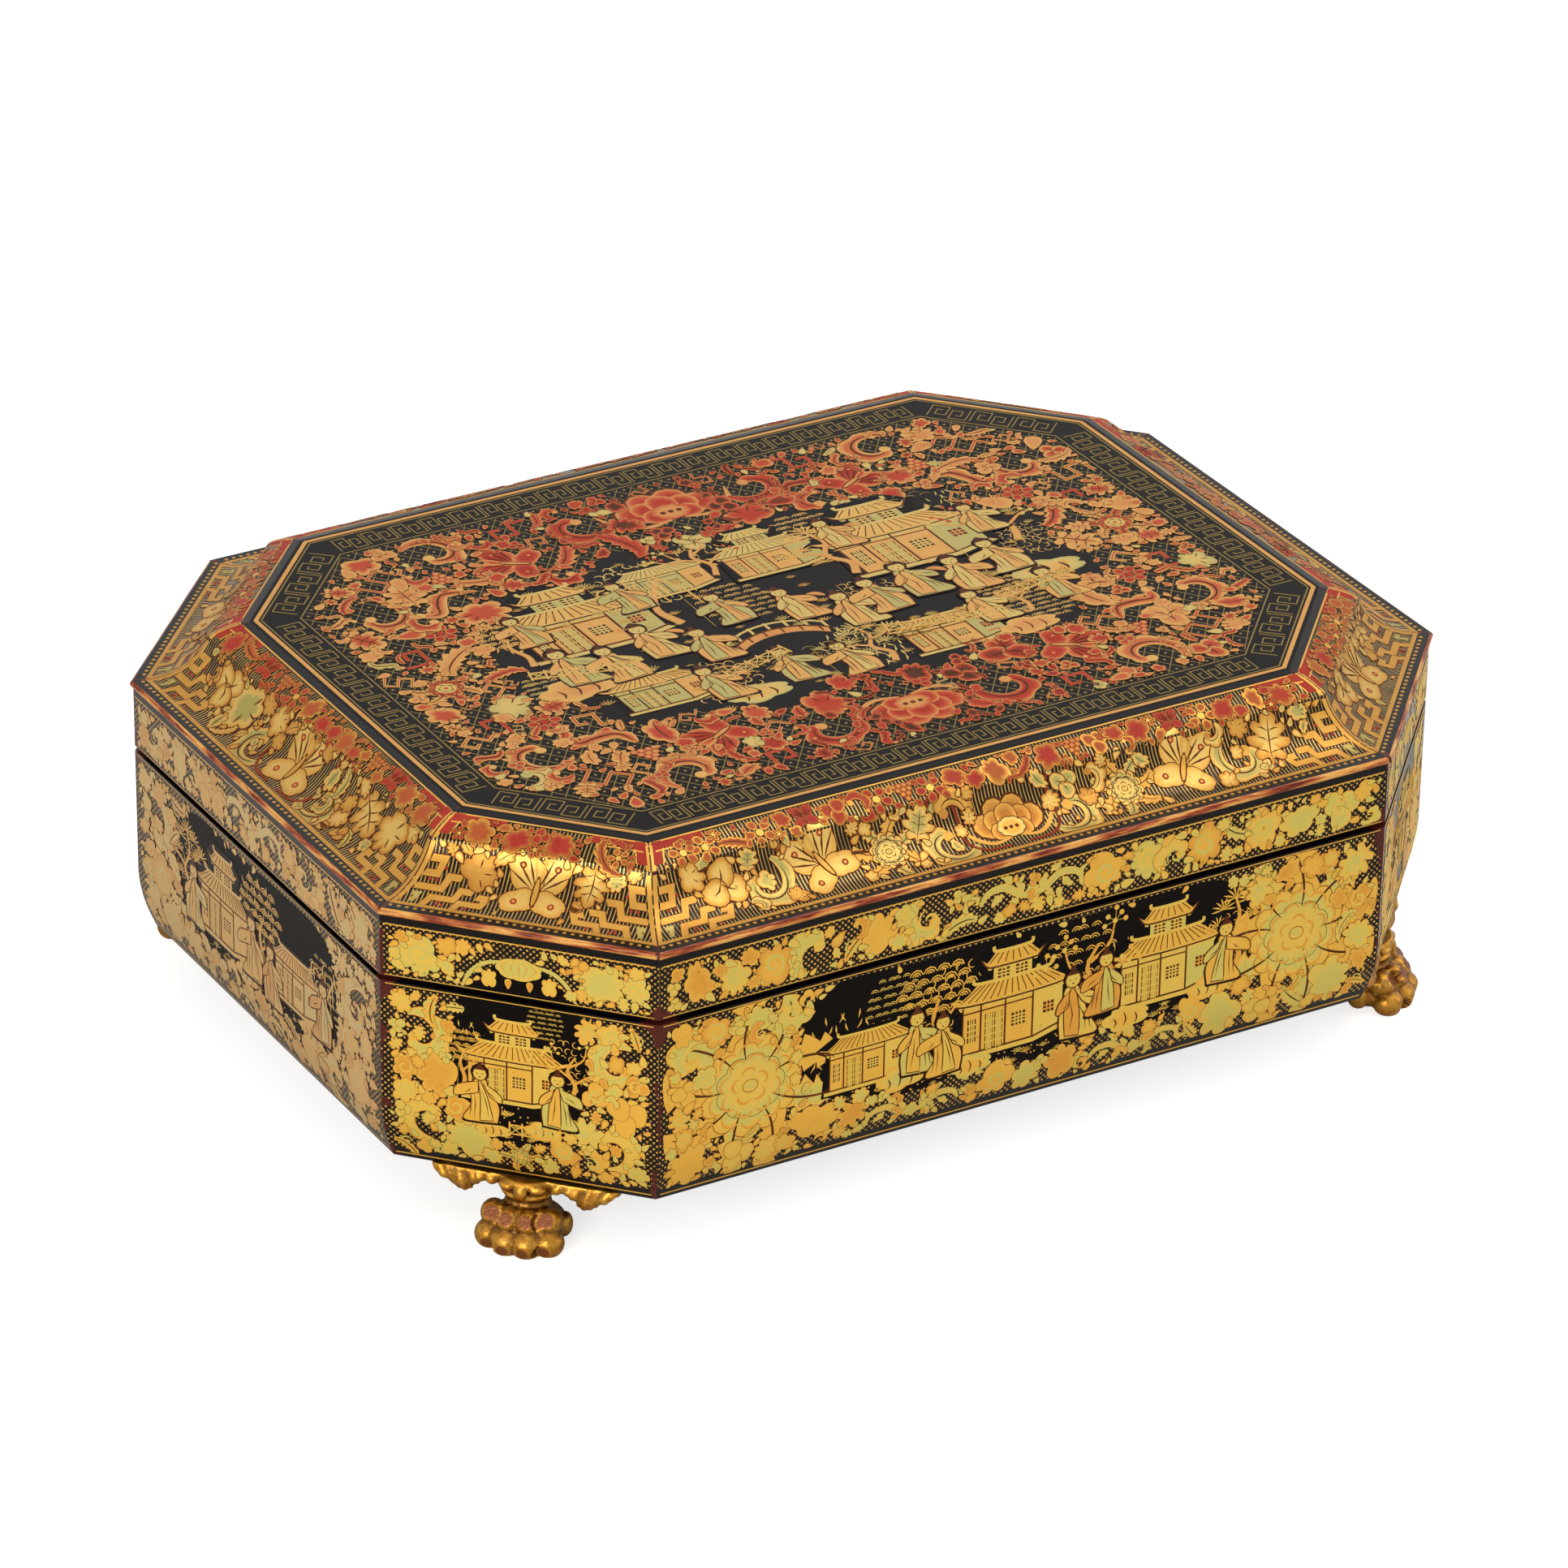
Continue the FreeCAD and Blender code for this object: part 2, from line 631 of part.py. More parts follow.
# Every feature and piece has to be sound before anything is written
doc.recompute()
for item in doc.Objects:
    if "Invalid" in item.State or "Error" in item.State:
        raise RuntimeError("%s did not rebuild" % item.Label)
for piece in pieces:
    if piece.Shape.isNull() or not piece.Shape.isValid():
        raise RuntimeError("%s has no sound shape" % piece.Label)
    if any(solid.Volume <= 0 for solid in piece.Shape.Solids) or not piece.Shape.Solids:
        raise RuntimeError("%s is not solid" % piece.Label)

os.makedirs("parts", exist_ok=True)
for piece in pieces:
    piece.Shape.exportStep(os.path.join("parts", piece.Label + ".step"))
    print("%-32s %9.2f cm3" % (piece.Label, piece.Shape.Volume / 1000))
print("pieces written:", len(pieces))
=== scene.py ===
# %% [markdown]
# # A lacquered games box
# The object is an octagonal wooden box in black lacquer, painted all over with gold. Its lid has an
# ogee border, a hollow moulding that rises to a flat top, and it stands on four carved gilt feet.
# The construction comes packed from CAD and stays where it is. This lesson gives it its surfaces:
# lacquer, gold, red, brass and carved wood. The box, the decoration and the camera are measured in
# millimetres and turned into metres by the factor MM. Only the lamps and the floor are in metres.

import math

import bmesh
import bpy
import numpy as np
from mathutils import Matrix, Vector


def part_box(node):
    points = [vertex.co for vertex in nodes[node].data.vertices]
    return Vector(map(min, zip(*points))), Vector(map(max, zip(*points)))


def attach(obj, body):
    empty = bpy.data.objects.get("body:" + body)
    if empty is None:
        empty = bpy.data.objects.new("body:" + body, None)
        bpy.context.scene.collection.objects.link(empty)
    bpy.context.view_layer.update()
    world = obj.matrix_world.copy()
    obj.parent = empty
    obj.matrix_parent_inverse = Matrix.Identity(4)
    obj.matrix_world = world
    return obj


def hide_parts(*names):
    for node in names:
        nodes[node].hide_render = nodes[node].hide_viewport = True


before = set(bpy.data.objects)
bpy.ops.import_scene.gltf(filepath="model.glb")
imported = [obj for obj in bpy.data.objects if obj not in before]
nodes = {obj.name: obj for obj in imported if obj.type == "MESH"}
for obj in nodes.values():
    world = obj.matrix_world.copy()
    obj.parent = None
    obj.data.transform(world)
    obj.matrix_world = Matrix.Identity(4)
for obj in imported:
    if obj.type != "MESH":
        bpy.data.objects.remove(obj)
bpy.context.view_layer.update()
MM = 0.001
print("pieces of the packed model:", len(nodes))

# %% [markdown]
# ## The sizes that the decoration follows
# Gold is laid on finished faces, so every line starts from the box itself. The corners of the
# octagon, the heights of the case and the lid and the edge of the top are read from the pieces. Only
# the curve of the ogee and of the foot of the walls are written again, because a box around a piece
# doesn't tell its curve.

# %% Sizes read from the pieces


def linked(name, data):
    """A new object in the scene."""
    made = bpy.data.objects.new(name, data)
    bpy.context.scene.collection.objects.link(made)
    return made


def extent(node, axis):
    """Lowest and highest coordinate of a piece along an axis, in mm."""
    low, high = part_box(node)
    return low[axis] / MM, high[axis] / MM


half_length = extent("ogee_border_right", 0)[1]
half_depth = -extent("ogee_border_front", 1)[0]
long_corner = extent("ogee_border_front", 0)[1]
short_corner = extent("ogee_border_right", 1)[1]
cant_length = half_length - long_corner
cant_depth = half_depth - short_corner
cant = math.hypot(cant_length, cant_depth)
long_mitre = (cant - cant_length) / cant_depth
short_mitre = (cant - cant_depth) / cant_length
cant_angle = math.degrees(math.atan2(cant_depth, cant_length))

case_low, rim_top = extent("case_wall_front", 2)
lid_low, lid_high = extent("lid_wall_front", 2)
top_height = extent("top_panel", 2)[1]
side_inset = half_depth + extent("lid_wall_front", 1)[0]
panel_inset = half_depth + extent("top_panel", 1)[0]
STEP_DEPTH = 1.7
rim_step = rim_top - STEP_DEPTH

foot_curve_height = 22
foot_curve_inset = 5
foot_curve_radius = (foot_curve_height ** 2 + foot_curve_inset ** 2) / (2 * foot_curve_inset)

bead_radius = 1.3
margin_inset = 4.0
margin_height = lid_high + 2 * bead_radius
cove_width = 19.2
cove_rise = 13.6
cove_radius = (cove_width ** 2 + cove_rise ** 2) / (2 * cove_rise)
cove_angle = math.atan2(cove_width, cove_radius - cove_rise)
arris_inset = margin_inset + cove_width
arris_height = margin_height + cove_rise
shoulder_radius = 24
shoulder_width = panel_inset - arris_inset
shoulder_rise = top_height - arris_height
shoulder_chord = math.hypot(shoulder_width, shoulder_rise)
shoulder_angle = 2 * math.asin(shoulder_chord / 2 / shoulder_radius)

across = (half_length + long_corner) / 2
along = (half_depth + short_corner) / 2
# Name, turn from the front in degrees, middle of the outer line, half length, mitre at each end
SIDES = {
    "front": (0, (0, -half_depth), long_corner, long_mitre, long_mitre),
    "front_right": (cant_angle, (across, -along), cant / 2, long_mitre, short_mitre),
    "right": (90, (half_length, 0), short_corner, short_mitre, short_mitre),
    "back_right": (180 - cant_angle, (across, along), cant / 2, short_mitre, long_mitre),
    "back": (180, (0, half_depth), long_corner, long_mitre, long_mitre),
    "back_left": (180 + cant_angle, (-across, along), cant / 2, long_mitre, short_mitre),
    "left": (270, (-half_length, 0), short_corner, short_mitre, short_mitre),
    "front_left": (360 - cant_angle, (-across, -along), cant / 2, short_mitre, long_mitre),
}
print("octagon %.1f x %.1f mm, cut corners %.1f mm" % (2 * half_length, 2 * half_depth, cant))

# %% [markdown]
# ## Camera
# The box is seen from its front left corner, from above, with a long lens, so that its sides hardly
# converge. The angles and the distance were worked out from the corners of the box in the picture.

# %% Camera
VIEW_TURN = math.radians(-30.59)
VIEW_HEIGHT = math.radians(28.07)
VIEW_ROLL = math.radians(0.94)
VIEW_DISTANCE = 2473.8
FOCAL_PIXELS = 9535.58
IMAGE_PIXELS = 1932
AIM_RIGHT = -0.33
AIM_UP = 1.8
AIM_HEIGHT = 62

back = Vector((
    math.sin(VIEW_TURN) * math.cos(VIEW_HEIGHT),
    -math.cos(VIEW_TURN) * math.cos(VIEW_HEIGHT),
    math.sin(VIEW_HEIGHT),
))
level_right = (-back).cross(Vector((0, 0, 1))).normalized()
level_up = level_right.cross(-back)
right = level_right * math.cos(VIEW_ROLL) + level_up * math.sin(VIEW_ROLL)
up = level_up * math.cos(VIEW_ROLL) - level_right * math.sin(VIEW_ROLL)
aim = level_right * AIM_RIGHT + level_up * AIM_UP + Vector((0, 0, AIM_HEIGHT))

camera_data = bpy.data.cameras.new("camera")
camera_data.sensor_width = 36
camera_data.lens = FOCAL_PIXELS * camera_data.sensor_width / IMAGE_PIXELS
camera_data.clip_start = 0.05
camera_data.clip_end = 50
camera = linked("camera", camera_data)
axes = Matrix((right, up, back)).transposed()
camera.matrix_world = Matrix.Translation((aim + back * VIEW_DISTANCE) * MM) @ axes.to_4x4()
bpy.context.scene.camera = camera
print("lens %.1f mm, %.2f m away" % (camera_data.lens, VIEW_DISTANCE * MM))

# %% [markdown]
# ## Colours and nodes
# Colours are written as they look on a screen and turned to linear light by one function. Materials
# are small node trees, so one helper adds a node, sets it up and links it in a single call. An
# input is a number, a hex colour, a socket, or another node, which stands for its first output.

# %% Colour and node helpers


def linear(code):
    """Linear colour of an sRGB hex code."""
    values = [int(code[i:i + 2], 16) / 255 for i in (1, 3, 5)]
    return tuple(v / 12.92 if v <= 0.04045 else ((v + 0.055) / 1.055) ** 2.4 for v in values) + (1.0,)


def add(tree, kind, inputs, stops=(), **settings):
    """Add a node with its inputs, its settings and, on a colour ramp, its stops."""
    made = tree.nodes.new("ShaderNode" + kind)
    for name, value in settings.items():
        setattr(made, name, value)
    for place, value in inputs.items():
        if isinstance(value, bpy.types.Node):
            value = next(socket for socket in value.outputs if socket.enabled)
        if isinstance(value, bpy.types.NodeSocket):
            tree.links.new(value, made.inputs[place])
        else:
            made.inputs[place].default_value = linear(value) if isinstance(value, str) else value
    for number, (place, code) in enumerate(stops):
        if number > 1:
            made.color_ramp.elements.new(place)
        made.color_ramp.elements[number].position = place
        made.color_ramp.elements[number].color = linear(code)
    return made


def in_millimetres(tree):
    """The place on an object in mm."""
    place = add(tree, "TexCoord", {}).outputs["Object"]
    return add(tree, "Mapping", {"Vector": place, "Scale": (MM, MM, MM)}, vector_type="TEXTURE")


def new_material(name):
    """An empty material and its tree."""
    material = bpy.data.materials.new(name)
    material.use_nodes = True
    material.node_tree.nodes.clear()
    return material, material.node_tree


print("helpers ready")

# %% [markdown]
# ## Floor and light
# A pale floor and a white surround keep the box in soft, even light, as in a studio. A large soft box
# hangs overhead and gives the rounded shoulder of the lid its highlight. A lamp at the front left
# models the sides, and a weaker one fills in from the right. The surround is white where the camera
# or a mirror sees it and greyer as a light, so that black lacquer stays black. The floor is lit by
# itself for the camera, and keeps the soft shadow under the feet.

# %% Floor and light
SURROUND_LIGHT = 0.5
FLOOR_SIZE = 12.0
FLOOR_GLOW = 0.72

world = bpy.data.worlds.new("studio")
bpy.context.scene.world = world
world.use_nodes = True
tree = world.node_tree
tree.nodes.clear()
path = add(tree, "LightPath", {})
seen = path.outputs["Is Camera Ray"]
for ray in ("Is Glossy Ray", "Is Transmission Ray"):
    seen = add(tree, "Math", {0: seen, 1: path.outputs[ray]}, operation="MAXIMUM")
strength = add(tree, "MapRange", {0: seen, 3: SURROUND_LIGHT, 4: 1.0})
background = add(tree, "Background", {"Color": "#ffffff", "Strength": strength})
add(tree, "OutputWorld", {"Surface": background})


def lamp(name, place, target, size, power, code):
    """A square soft box at a place, pointing at a target, both in metres."""
    data = bpy.data.lights.new(name, "AREA")
    data.size = size
    data.energy = power
    data.color = linear(code)[:3]
    facing = (Vector(target) - Vector(place)).to_track_quat("-Z", "Y").to_matrix().to_4x4()
    linked(name, data).matrix_world = Matrix.Translation(place) @ facing


lamp("overhead_lamp", (0.35, -0.1, 1.35), (0, 0, 0.12), 1.1, 10.5, "#fffaf2")
lamp("front_lamp", (-1.5, -1.1, 0.65), (0, 0, 0.07), 0.8, 19, "#fff6ea")
lamp("fill_lamp", (1.6, -0.9, 0.8), (0, 0, 0.05), 1.0, 6, "#f4f6ff")

half = FLOOR_SIZE / 2
corners = [(-half, -half, 0), (half, -half, 0), (half, half, 0), (-half, half, 0)]
floor_mesh = bpy.data.meshes.new("floor")
floor_mesh.from_pydata(corners, [], [(0, 1, 2, 3)])
floor = linked("floor", floor_mesh)
floor.location.z = -0.2 * MM
material, tree = new_material("floor_paper")
path = add(tree, "LightPath", {})
paper = add(tree, "BsdfDiffuse", {"Color": "#d9d8d6"})
glow = add(tree, "Math", {0: path.outputs["Is Camera Ray"], 1: FLOOR_GLOW}, operation="MULTIPLY")
light = add(tree, "Emission", {"Color": "#ffffff", "Strength": glow})
both = add(tree, "AddShader", {0: paper, 1: light})
add(tree, "OutputMaterial", {"Surface": both})
floor.data.materials.append(material)

bpy.context.scene.view_settings.view_transform = "Standard"
print("floor and three lamps made")

# %% [markdown]
# ## Black lacquer
# The real surface is many thin coats of tree sap lacquer, each rubbed smooth, over wood. It is almost
# black with a warm tinge, and it shines softly: head on it stays dark, and at a low angle it picks
# up the pale room. That is what a clear coating of low index does, so the index is set well below
# that of glass. Where hands and cloths have rubbed the edges, the red-brown coats underneath show.
#
# The walls are painted between their leaves with a net of fine gold dots, and the ogee with fine
# gold lines. Both are far too many to model one by one, so the material draws them in the side's own
# millimetres: a mapping node turns each side to face the front. The real dots are about 0.85 mm
# apart and the lines 0.95 mm; they are drawn coarser here, so that they still show.

# %% Lacquer material
LACQUER = "#0a0706"
LACQUER_WARM = "#120c09"
UNDERCOAT = "#4f1f16"
DULL_GOLD = "#cfa04a"
DOT_PITCH = 2.1
HATCH_PITCH = 1.2
INDEX_WALL = 1.26
INDEX_END = 1.42
INDEX_PLAIN = 1.14


def side_coordinates(tree, side):
    """The place on a side in mm, and its parts: along it, inwards from its outer line, and up."""
    turn, middle = SIDES[side][:2]
    mapped = add(tree, "Mapping", {
        "Vector": add(tree, "TexCoord", {}).outputs["Object"],
        "Location": (middle[0] * MM, middle[1] * MM, 0),
        "Rotation": (0, 0, math.radians(turn)),
        "Scale": (MM, MM, MM),
    }, vector_type="TEXTURE")
    split = add(tree, "SeparateXYZ", {0: mapped})
    return (mapped, *split.outputs)


def waves(tree, place, pitch):
    """A sine wave along a place in mm."""
    turned = add(tree, "Math", {0: place, 1: 2 * math.pi / pitch}, operation="MULTIPLY")
    return add(tree, "Math", {0: turned}, operation="SINE")


def painted_ground(tree, mapped, pattern, along, inset, height, low, high):
    """Share of gold in the ground between two heights (dots) or two insets (hatch)."""
    if pattern == "dots":
        net = add(tree, "Math", {0: waves(tree, along, DOT_PITCH), 1: waves(tree, height, DOT_PITCH)},
                  operation="MULTIPLY")
        gold = add(tree, "MapRange", {0: net, 1: 0.3, 2: 0.55})
        field = height
        outer = add(tree, "MapRange", {0: inset, 1: 7.0, 2: 7.5, 3: 1.0, 4: 0.0})
    else:
        gold = add(tree, "MapRange", {0: waves(tree, along, HATCH_PITCH), 1: 0.45, 2: 0.85})
        field = inset
        facing = add(tree, "SeparateXYZ", {0: add(tree, "TexCoord", {}).outputs["Normal"]})
        outer = add(tree, "MapRange", {0: facing.outputs[2], 1: 0.1, 2: 0.2})
    worn = add(tree, "TexNoise", {"Vector": mapped, "Scale": 0.12})
    for limit in (
        outer,
        add(tree, "MapRange", {0: field, 1: low, 2: low + 0.2}),
        add(tree, "MapRange", {0: field, 1: high - 0.2, 2: high, 3: 1.0, 4: 0.0}),
        add(tree, "MapRange", {0: worn, 1: 0.3, 2: 0.55, 3: 0.4, 4: 1.0}),
    ):
        gold = add(tree, "Math", {0: gold, 1: limit}, operation="MULTIPLY")
    return gold


def end_wear(tree, mapped, side, along, inset, height):
    """Share of bare undercoat, in chips along the two mitred ends of a side, larger at the seam."""
    reach = add(tree, "Math", {0: along}, operation="ABSOLUTE")
    gone = add(tree, "Math", {0: inset, 1: SIDES[side][3]}, operation="MULTIPLY")
    reach = add(tree, "Math", {0: reach, 1: gone}, operation="ADD")
    from_end = add(tree, "Math", {0: SIDES[side][2], 1: reach}, operation="SUBTRACT")
    patches = add(tree, "TexNoise", {"Vector": mapped, "Scale": 0.11, "Detail": 6.0, "Roughness": 0.6})
    patches = add(tree, "Math", {0: patches, 1: 17.0}, operation="MULTIPLY")
    rubbed = add(tree, "Math", {0: patches, 1: from_end}, operation="SUBTRACT")
    off_seam = add(tree, "Math", {0: height, 1: rim_step}, operation="SUBTRACT")
    off_seam = add(tree, "Math", {0: off_seam}, operation="ABSOLUTE")
    at_seam = add(tree, "MapRange", {0: off_seam, 1: 1.0, 2: 9.0, 3: 4.5, 4: 0.0})
    rubbed = add(tree, "Math", {0: rubbed, 1: at_seam}, operation="ADD")
    return add(tree, "MapRange", {0: rubbed, 1: 8.2, 2: 8.5})


def bead_wear(tree, mapped, inset, height):
    """Share of bare red and copper on the bead, the most handled edge of the lid, and its colour."""
    rim = 2 * bead_radius
    outer = add(tree, "MapRange", {0: inset, 1: rim - 0.2, 2: rim + 0.1, 3: 1.0, 4: 0.0})
    below = add(tree, "MapRange", {
        0: height, 1: margin_height - 0.12, 2: margin_height - 0.02, 3: 1.0, 4: 0.0,
    })
    drawn_out = add(tree, "Mapping", {"Vector": mapped, "Scale": (0.1, 1.0, 1.0)})
    streaks = add(tree, "TexNoise", {"Vector": drawn_out, "Scale": 0.6, "Detail": 5.0, "Roughness": 0.65})
    bare = add(tree, "MapRange", {0: streaks, 1: 0.28, 2: 0.34})
    for limit in (outer, below):
        bare = add(tree, "Math", {0: bare, 1: limit}, operation="MULTIPLY")
    stops = ((0.36, "#5a2113"), (0.43, "#8a3a20"), (0.5, "#b56a35"), (0.58, "#d8a255"))
    colour = add(tree, "ValToRGB", {0: streaks}, stops)
    return bare, colour


def black_lacquer(name, side=None, pattern=None, low=0.0, high=0.0, index=INDEX_WALL):
    """Black lacquer, worn at the ends of a side and painted with its ground pattern."""
    material, tree = new_material(name)
    mapped, along, inset, height = side_coordinates(tree, side or "front")
    cloud = add(tree, "TexNoise", {"Vector": mapped, "Scale": 0.05})
    colour = add(tree, "Mix", {0: cloud, 6: LACQUER, 7: LACQUER_WARM}, data_type="RGBA")
    smear = add(tree, "TexNoise", {"Vector": mapped, "Scale": 0.09})
    grain = add(tree, "TexNoise", {"Vector": mapped, "Scale": 0.8})
    shader = add(tree, "BsdfPrincipled", {
        "Roughness": add(tree, "MapRange", {0: smear, 1: 0.3, 2: 0.7, 3: 0.14, 4: 0.26}),
        "IOR": index,
        "Normal": add(tree, "Bump", {"Strength": 0.05, "Distance": 0.0002, "Height": grain}),
    })
    if pattern:
        gold = painted_ground(tree, mapped, pattern, along, inset, height, low, high)
        colour = add(tree, "Mix", {0: gold, 6: colour, 7: DULL_GOLD}, data_type="RGBA")
        shine = add(tree, "Math", {0: gold, 1: 0.5}, operation="MULTIPLY")
        tree.links.new(shine.outputs[0], shader.inputs["Metallic"])
    if pattern == "hatch":
        bare, copper = bead_wear(tree, mapped, inset, height)
        colour = add(tree, "Mix", {0: bare, 6: colour, 7: copper}, data_type="RGBA")
    if side:
        wear = end_wear(tree, mapped, side, along, inset, height)
        colour = add(tree, "Mix", {0: wear, 6: colour, 7: UNDERCOAT}, data_type="RGBA")
    tree.links.new(next(out for out in colour.outputs if out.enabled), shader.inputs["Base Color"])
    add(tree, "OutputMaterial", {"Surface": shader})
    return material


def clothe(node, material):
    """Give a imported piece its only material."""
    slots = nodes[node].data.materials
    slots.clear()
    slots.append(material)


# %% [markdown]
# The two short ends are held when the box is carried. Their lacquer is hazier from all the wiping,
# so it picks up more of the room. Their gold is painted in duller, paler shades: a painted
# reflection of the pale room on the ends.

# %% Lacquer on the mitred walls and mouldings
ENDS = ("left", "right")
for side in SIDES:
    index = INDEX_END if side in ENDS else INDEX_WALL
    wall = black_lacquer("black_lacquer_case_" + side, side, "dots", case_low + 4, rim_step - 0.6, index)
    band = black_lacquer("black_lacquer_lid_" + side, side, "dots", lid_low + 0.6, lid_high - 2.2, index)
    ogee = black_lacquer("black_lacquer_ogee_" + side, side, "hatch", 5.6, panel_inset - 3.6)
    clothe("case_wall_" + side, wall)
    clothe("lid_wall_" + side, band)
    clothe("ogee_border_" + side, ogee)
print("lacquer on", 3 * len(SIDES), "mitred pieces")

# %% Plain lacquer for the flat boards and the inside
lacquer_plain = black_lacquer("black_lacquer_plain", index=INDEX_PLAIN)
for node in nodes:
    if node.startswith("counter_") or node in ("top_panel", "bottom_board"):
        clothe(node, lacquer_plain)
print("plain lacquer ready")

# %% [markdown]
# ## Gold on lacquer
# The painter draws each leaf in sticky lacquer and dusts it with gold powder, so the ornament really is
# a thin layer with an edge. It is modelled that way: every leaf, line and figure is a closed slab, a
# tenth or two of a millimetre thick, that lies on the lacquer. A texture would be quicker, but slabs
# keep crisp edges at any distance and stay part of the mesh.
#
# Where two slabs cross, the later one lies a hair higher, as paint lies on paint, so that leaves,
# dark outlines and engraved lines cover each other in the order in which they were drawn.
#
# A drawing is a list of shapes. A shape is a stack of rings with the same number of points, each with
# a tone: the outer ring is the outline, and an inner ring of another tone lets the colour run softly
# from the edge to the core, as the shaded gold does. The tone is one number, from black through red
# to greenish gold, stored at the mesh's points, and the material turns it into colour.

# %% Tones and lifts
BLACK, DULL, DARK, RED, CORAL, ORANGE, GOLD, PALE, GREEN = 0.0, 0.1, 0.2, 0.32, 0.44, 0.56, 0.7, 0.84, 0.96
LIFT_GROUND = 0.03
LIFT_RULE = 0.055
LIFT_BACK = 0.06
LIFT_LEAF = 0.09
LIFT_OVER = 0.14
LIFT_LINE = 0.19
LIFT_STEP = 0.0015
SINK = 0.05
SLAB_EDGE = math.radians(35)
SOFT_BORDER = 0.8

# %% From drawing to solid


def turned(size, turn, flip):
    """Matrix that mirrors, turns by some degrees and scales."""
    angle = math.radians(turn)
    matrix = size * np.array([[math.cos(angle), -math.sin(angle)], [math.sin(angle), math.cos(angle)]])
    return matrix @ np.diag([-1.0, 1.0]) if flip else matrix


def moved(motif, x=0.0, y=0.0, size=1.0, turn=0.0, flip=False):
    """A motif in another place, size and turn."""
    matrix = turned(size, turn, flip).T
    return [([(np.asarray(outline) @ matrix + (x, y), tone) for outline, tone in rings], level)
            for rings, level in motif]


class Face:
    """A flat drawing in mm, u along and v up, and the function that lays it on the box."""

    def __init__(self, locate, rows=(), limit=None):
        self.locate = locate
        self.rows = rows
        self.limit = limit or (lambda points: points)
        self.shapes = []

    def put(self, motif, u=0.0, v=0.0, size=1.0, turn=0.0, flip=False, rim=0.0):
        """Add a motif, scaled to a size in mm, turned in degrees or mirrored. A rim in mm draws a
        dark line round its leaves."""
        for rings, level in sorted(moved(motif, u, v, size, turn, flip), key=lambda shape: shape[1]):
            if rim and len(rings) > 1:
                self.mark(self.limit(widened(rings[0][0], rim)), DARK, level)
            self.shapes.append(([(self.limit(outline), tone) for outline, tone in rings], level))

    def mark(self, outline, tone, level):
        """Add an outline of one tone just where it is."""
        self.shapes.append(([(outline, tone)], level))


def widened(outline, by):
    """A closed outline moved outwards."""
    ahead = np.roll(outline, -1, axis=0) - np.roll(outline, 1, axis=0)
    ahead /= np.maximum(np.linalg.norm(ahead, axis=1), 1e-9)[:, None]
    u, v = outline.T
    turn = np.sign(np.sum(u * np.roll(v, -1) - v * np.roll(u, -1)))
    return outline + turn * by * np.column_stack([ahead[:, 1], -ahead[:, 0]])


def stacked(shapes):
    """Lift each shape above the earlier ones that it covers."""
    boxes = np.array([[*rings[0][0].min(axis=0), *rings[0][0].max(axis=0)] for rings, level in shapes])
    lifts = np.zeros(len(shapes))
    for i, (low_u, low_v, high_u, high_v) in enumerate(boxes):
        earlier = boxes[:i]
        under = (earlier[:, 0] < high_u) & (earlier[:, 2] > low_u)
        under &= (earlier[:, 1] < high_v) & (earlier[:, 3] > low_v)
        lifts[i] = max(shapes[i][1], lifts[:i][under].max(initial=0.0) + LIFT_STEP)
    return [(rings, lift) for (rings, level), lift in zip(shapes, lifts)]


def flat_mesh(shapes):
    """Points (u, v, lift), their tones and the faces of some shapes."""
    points, tones, faces = [], [], []
    start = 0
    for rings, lift in shapes:
        u, v = rings[0][0].T
        clockwise = np.sum(u * np.roll(v, -1) - v * np.roll(u, -1)) < 0
        count = len(u)
        for outline, tone in rings:
            outline = outline[::-1] if clockwise else outline
            points.append(np.column_stack([outline, np.full(count, lift)]))
            tones.append(np.full(count, tone))
        for ring in range(len(rings) - 1):
            low = start + ring * count
            for i in range(count):
                j = (i + 1) % count
                faces.append((low + i, low + j, low + count + j, low + count + i))
        last = start + (len(rings) - 1) * count
        faces.append(tuple(range(last, last + count)))
        start += len(rings) * count
    return np.concatenate(points), np.concatenate(tones), faces


def cut_in_rows(points, tones, faces, rows):
    """Cut the flat faces along rows of equal v, so that they can follow a curved surface."""
    work = bmesh.new()
    layer = work.verts.layers.float.new("tone")
    verts = [work.verts.new(point) for point in points]
    for vert, tone in zip(verts, tones):
        vert[layer] = tone
    for face in faces:
        work.faces.new([verts[i] for i in face])
    for row in rows:
        everything = work.verts[:] + work.edges[:] + work.faces[:]
        bmesh.ops.bisect_plane(work, geom=everything, dist=1e-4, plane_co=(0, row, 0), plane_no=(0, 1, 0))
    work.verts.index_update()
    points = np.array([vert.co[:] for vert in work.verts])
    tones = np.array([vert[layer] for vert in work.verts])
    faces = [tuple(vert.index for vert in face.verts) for face in work.faces]
    work.free()
    return points, tones, faces


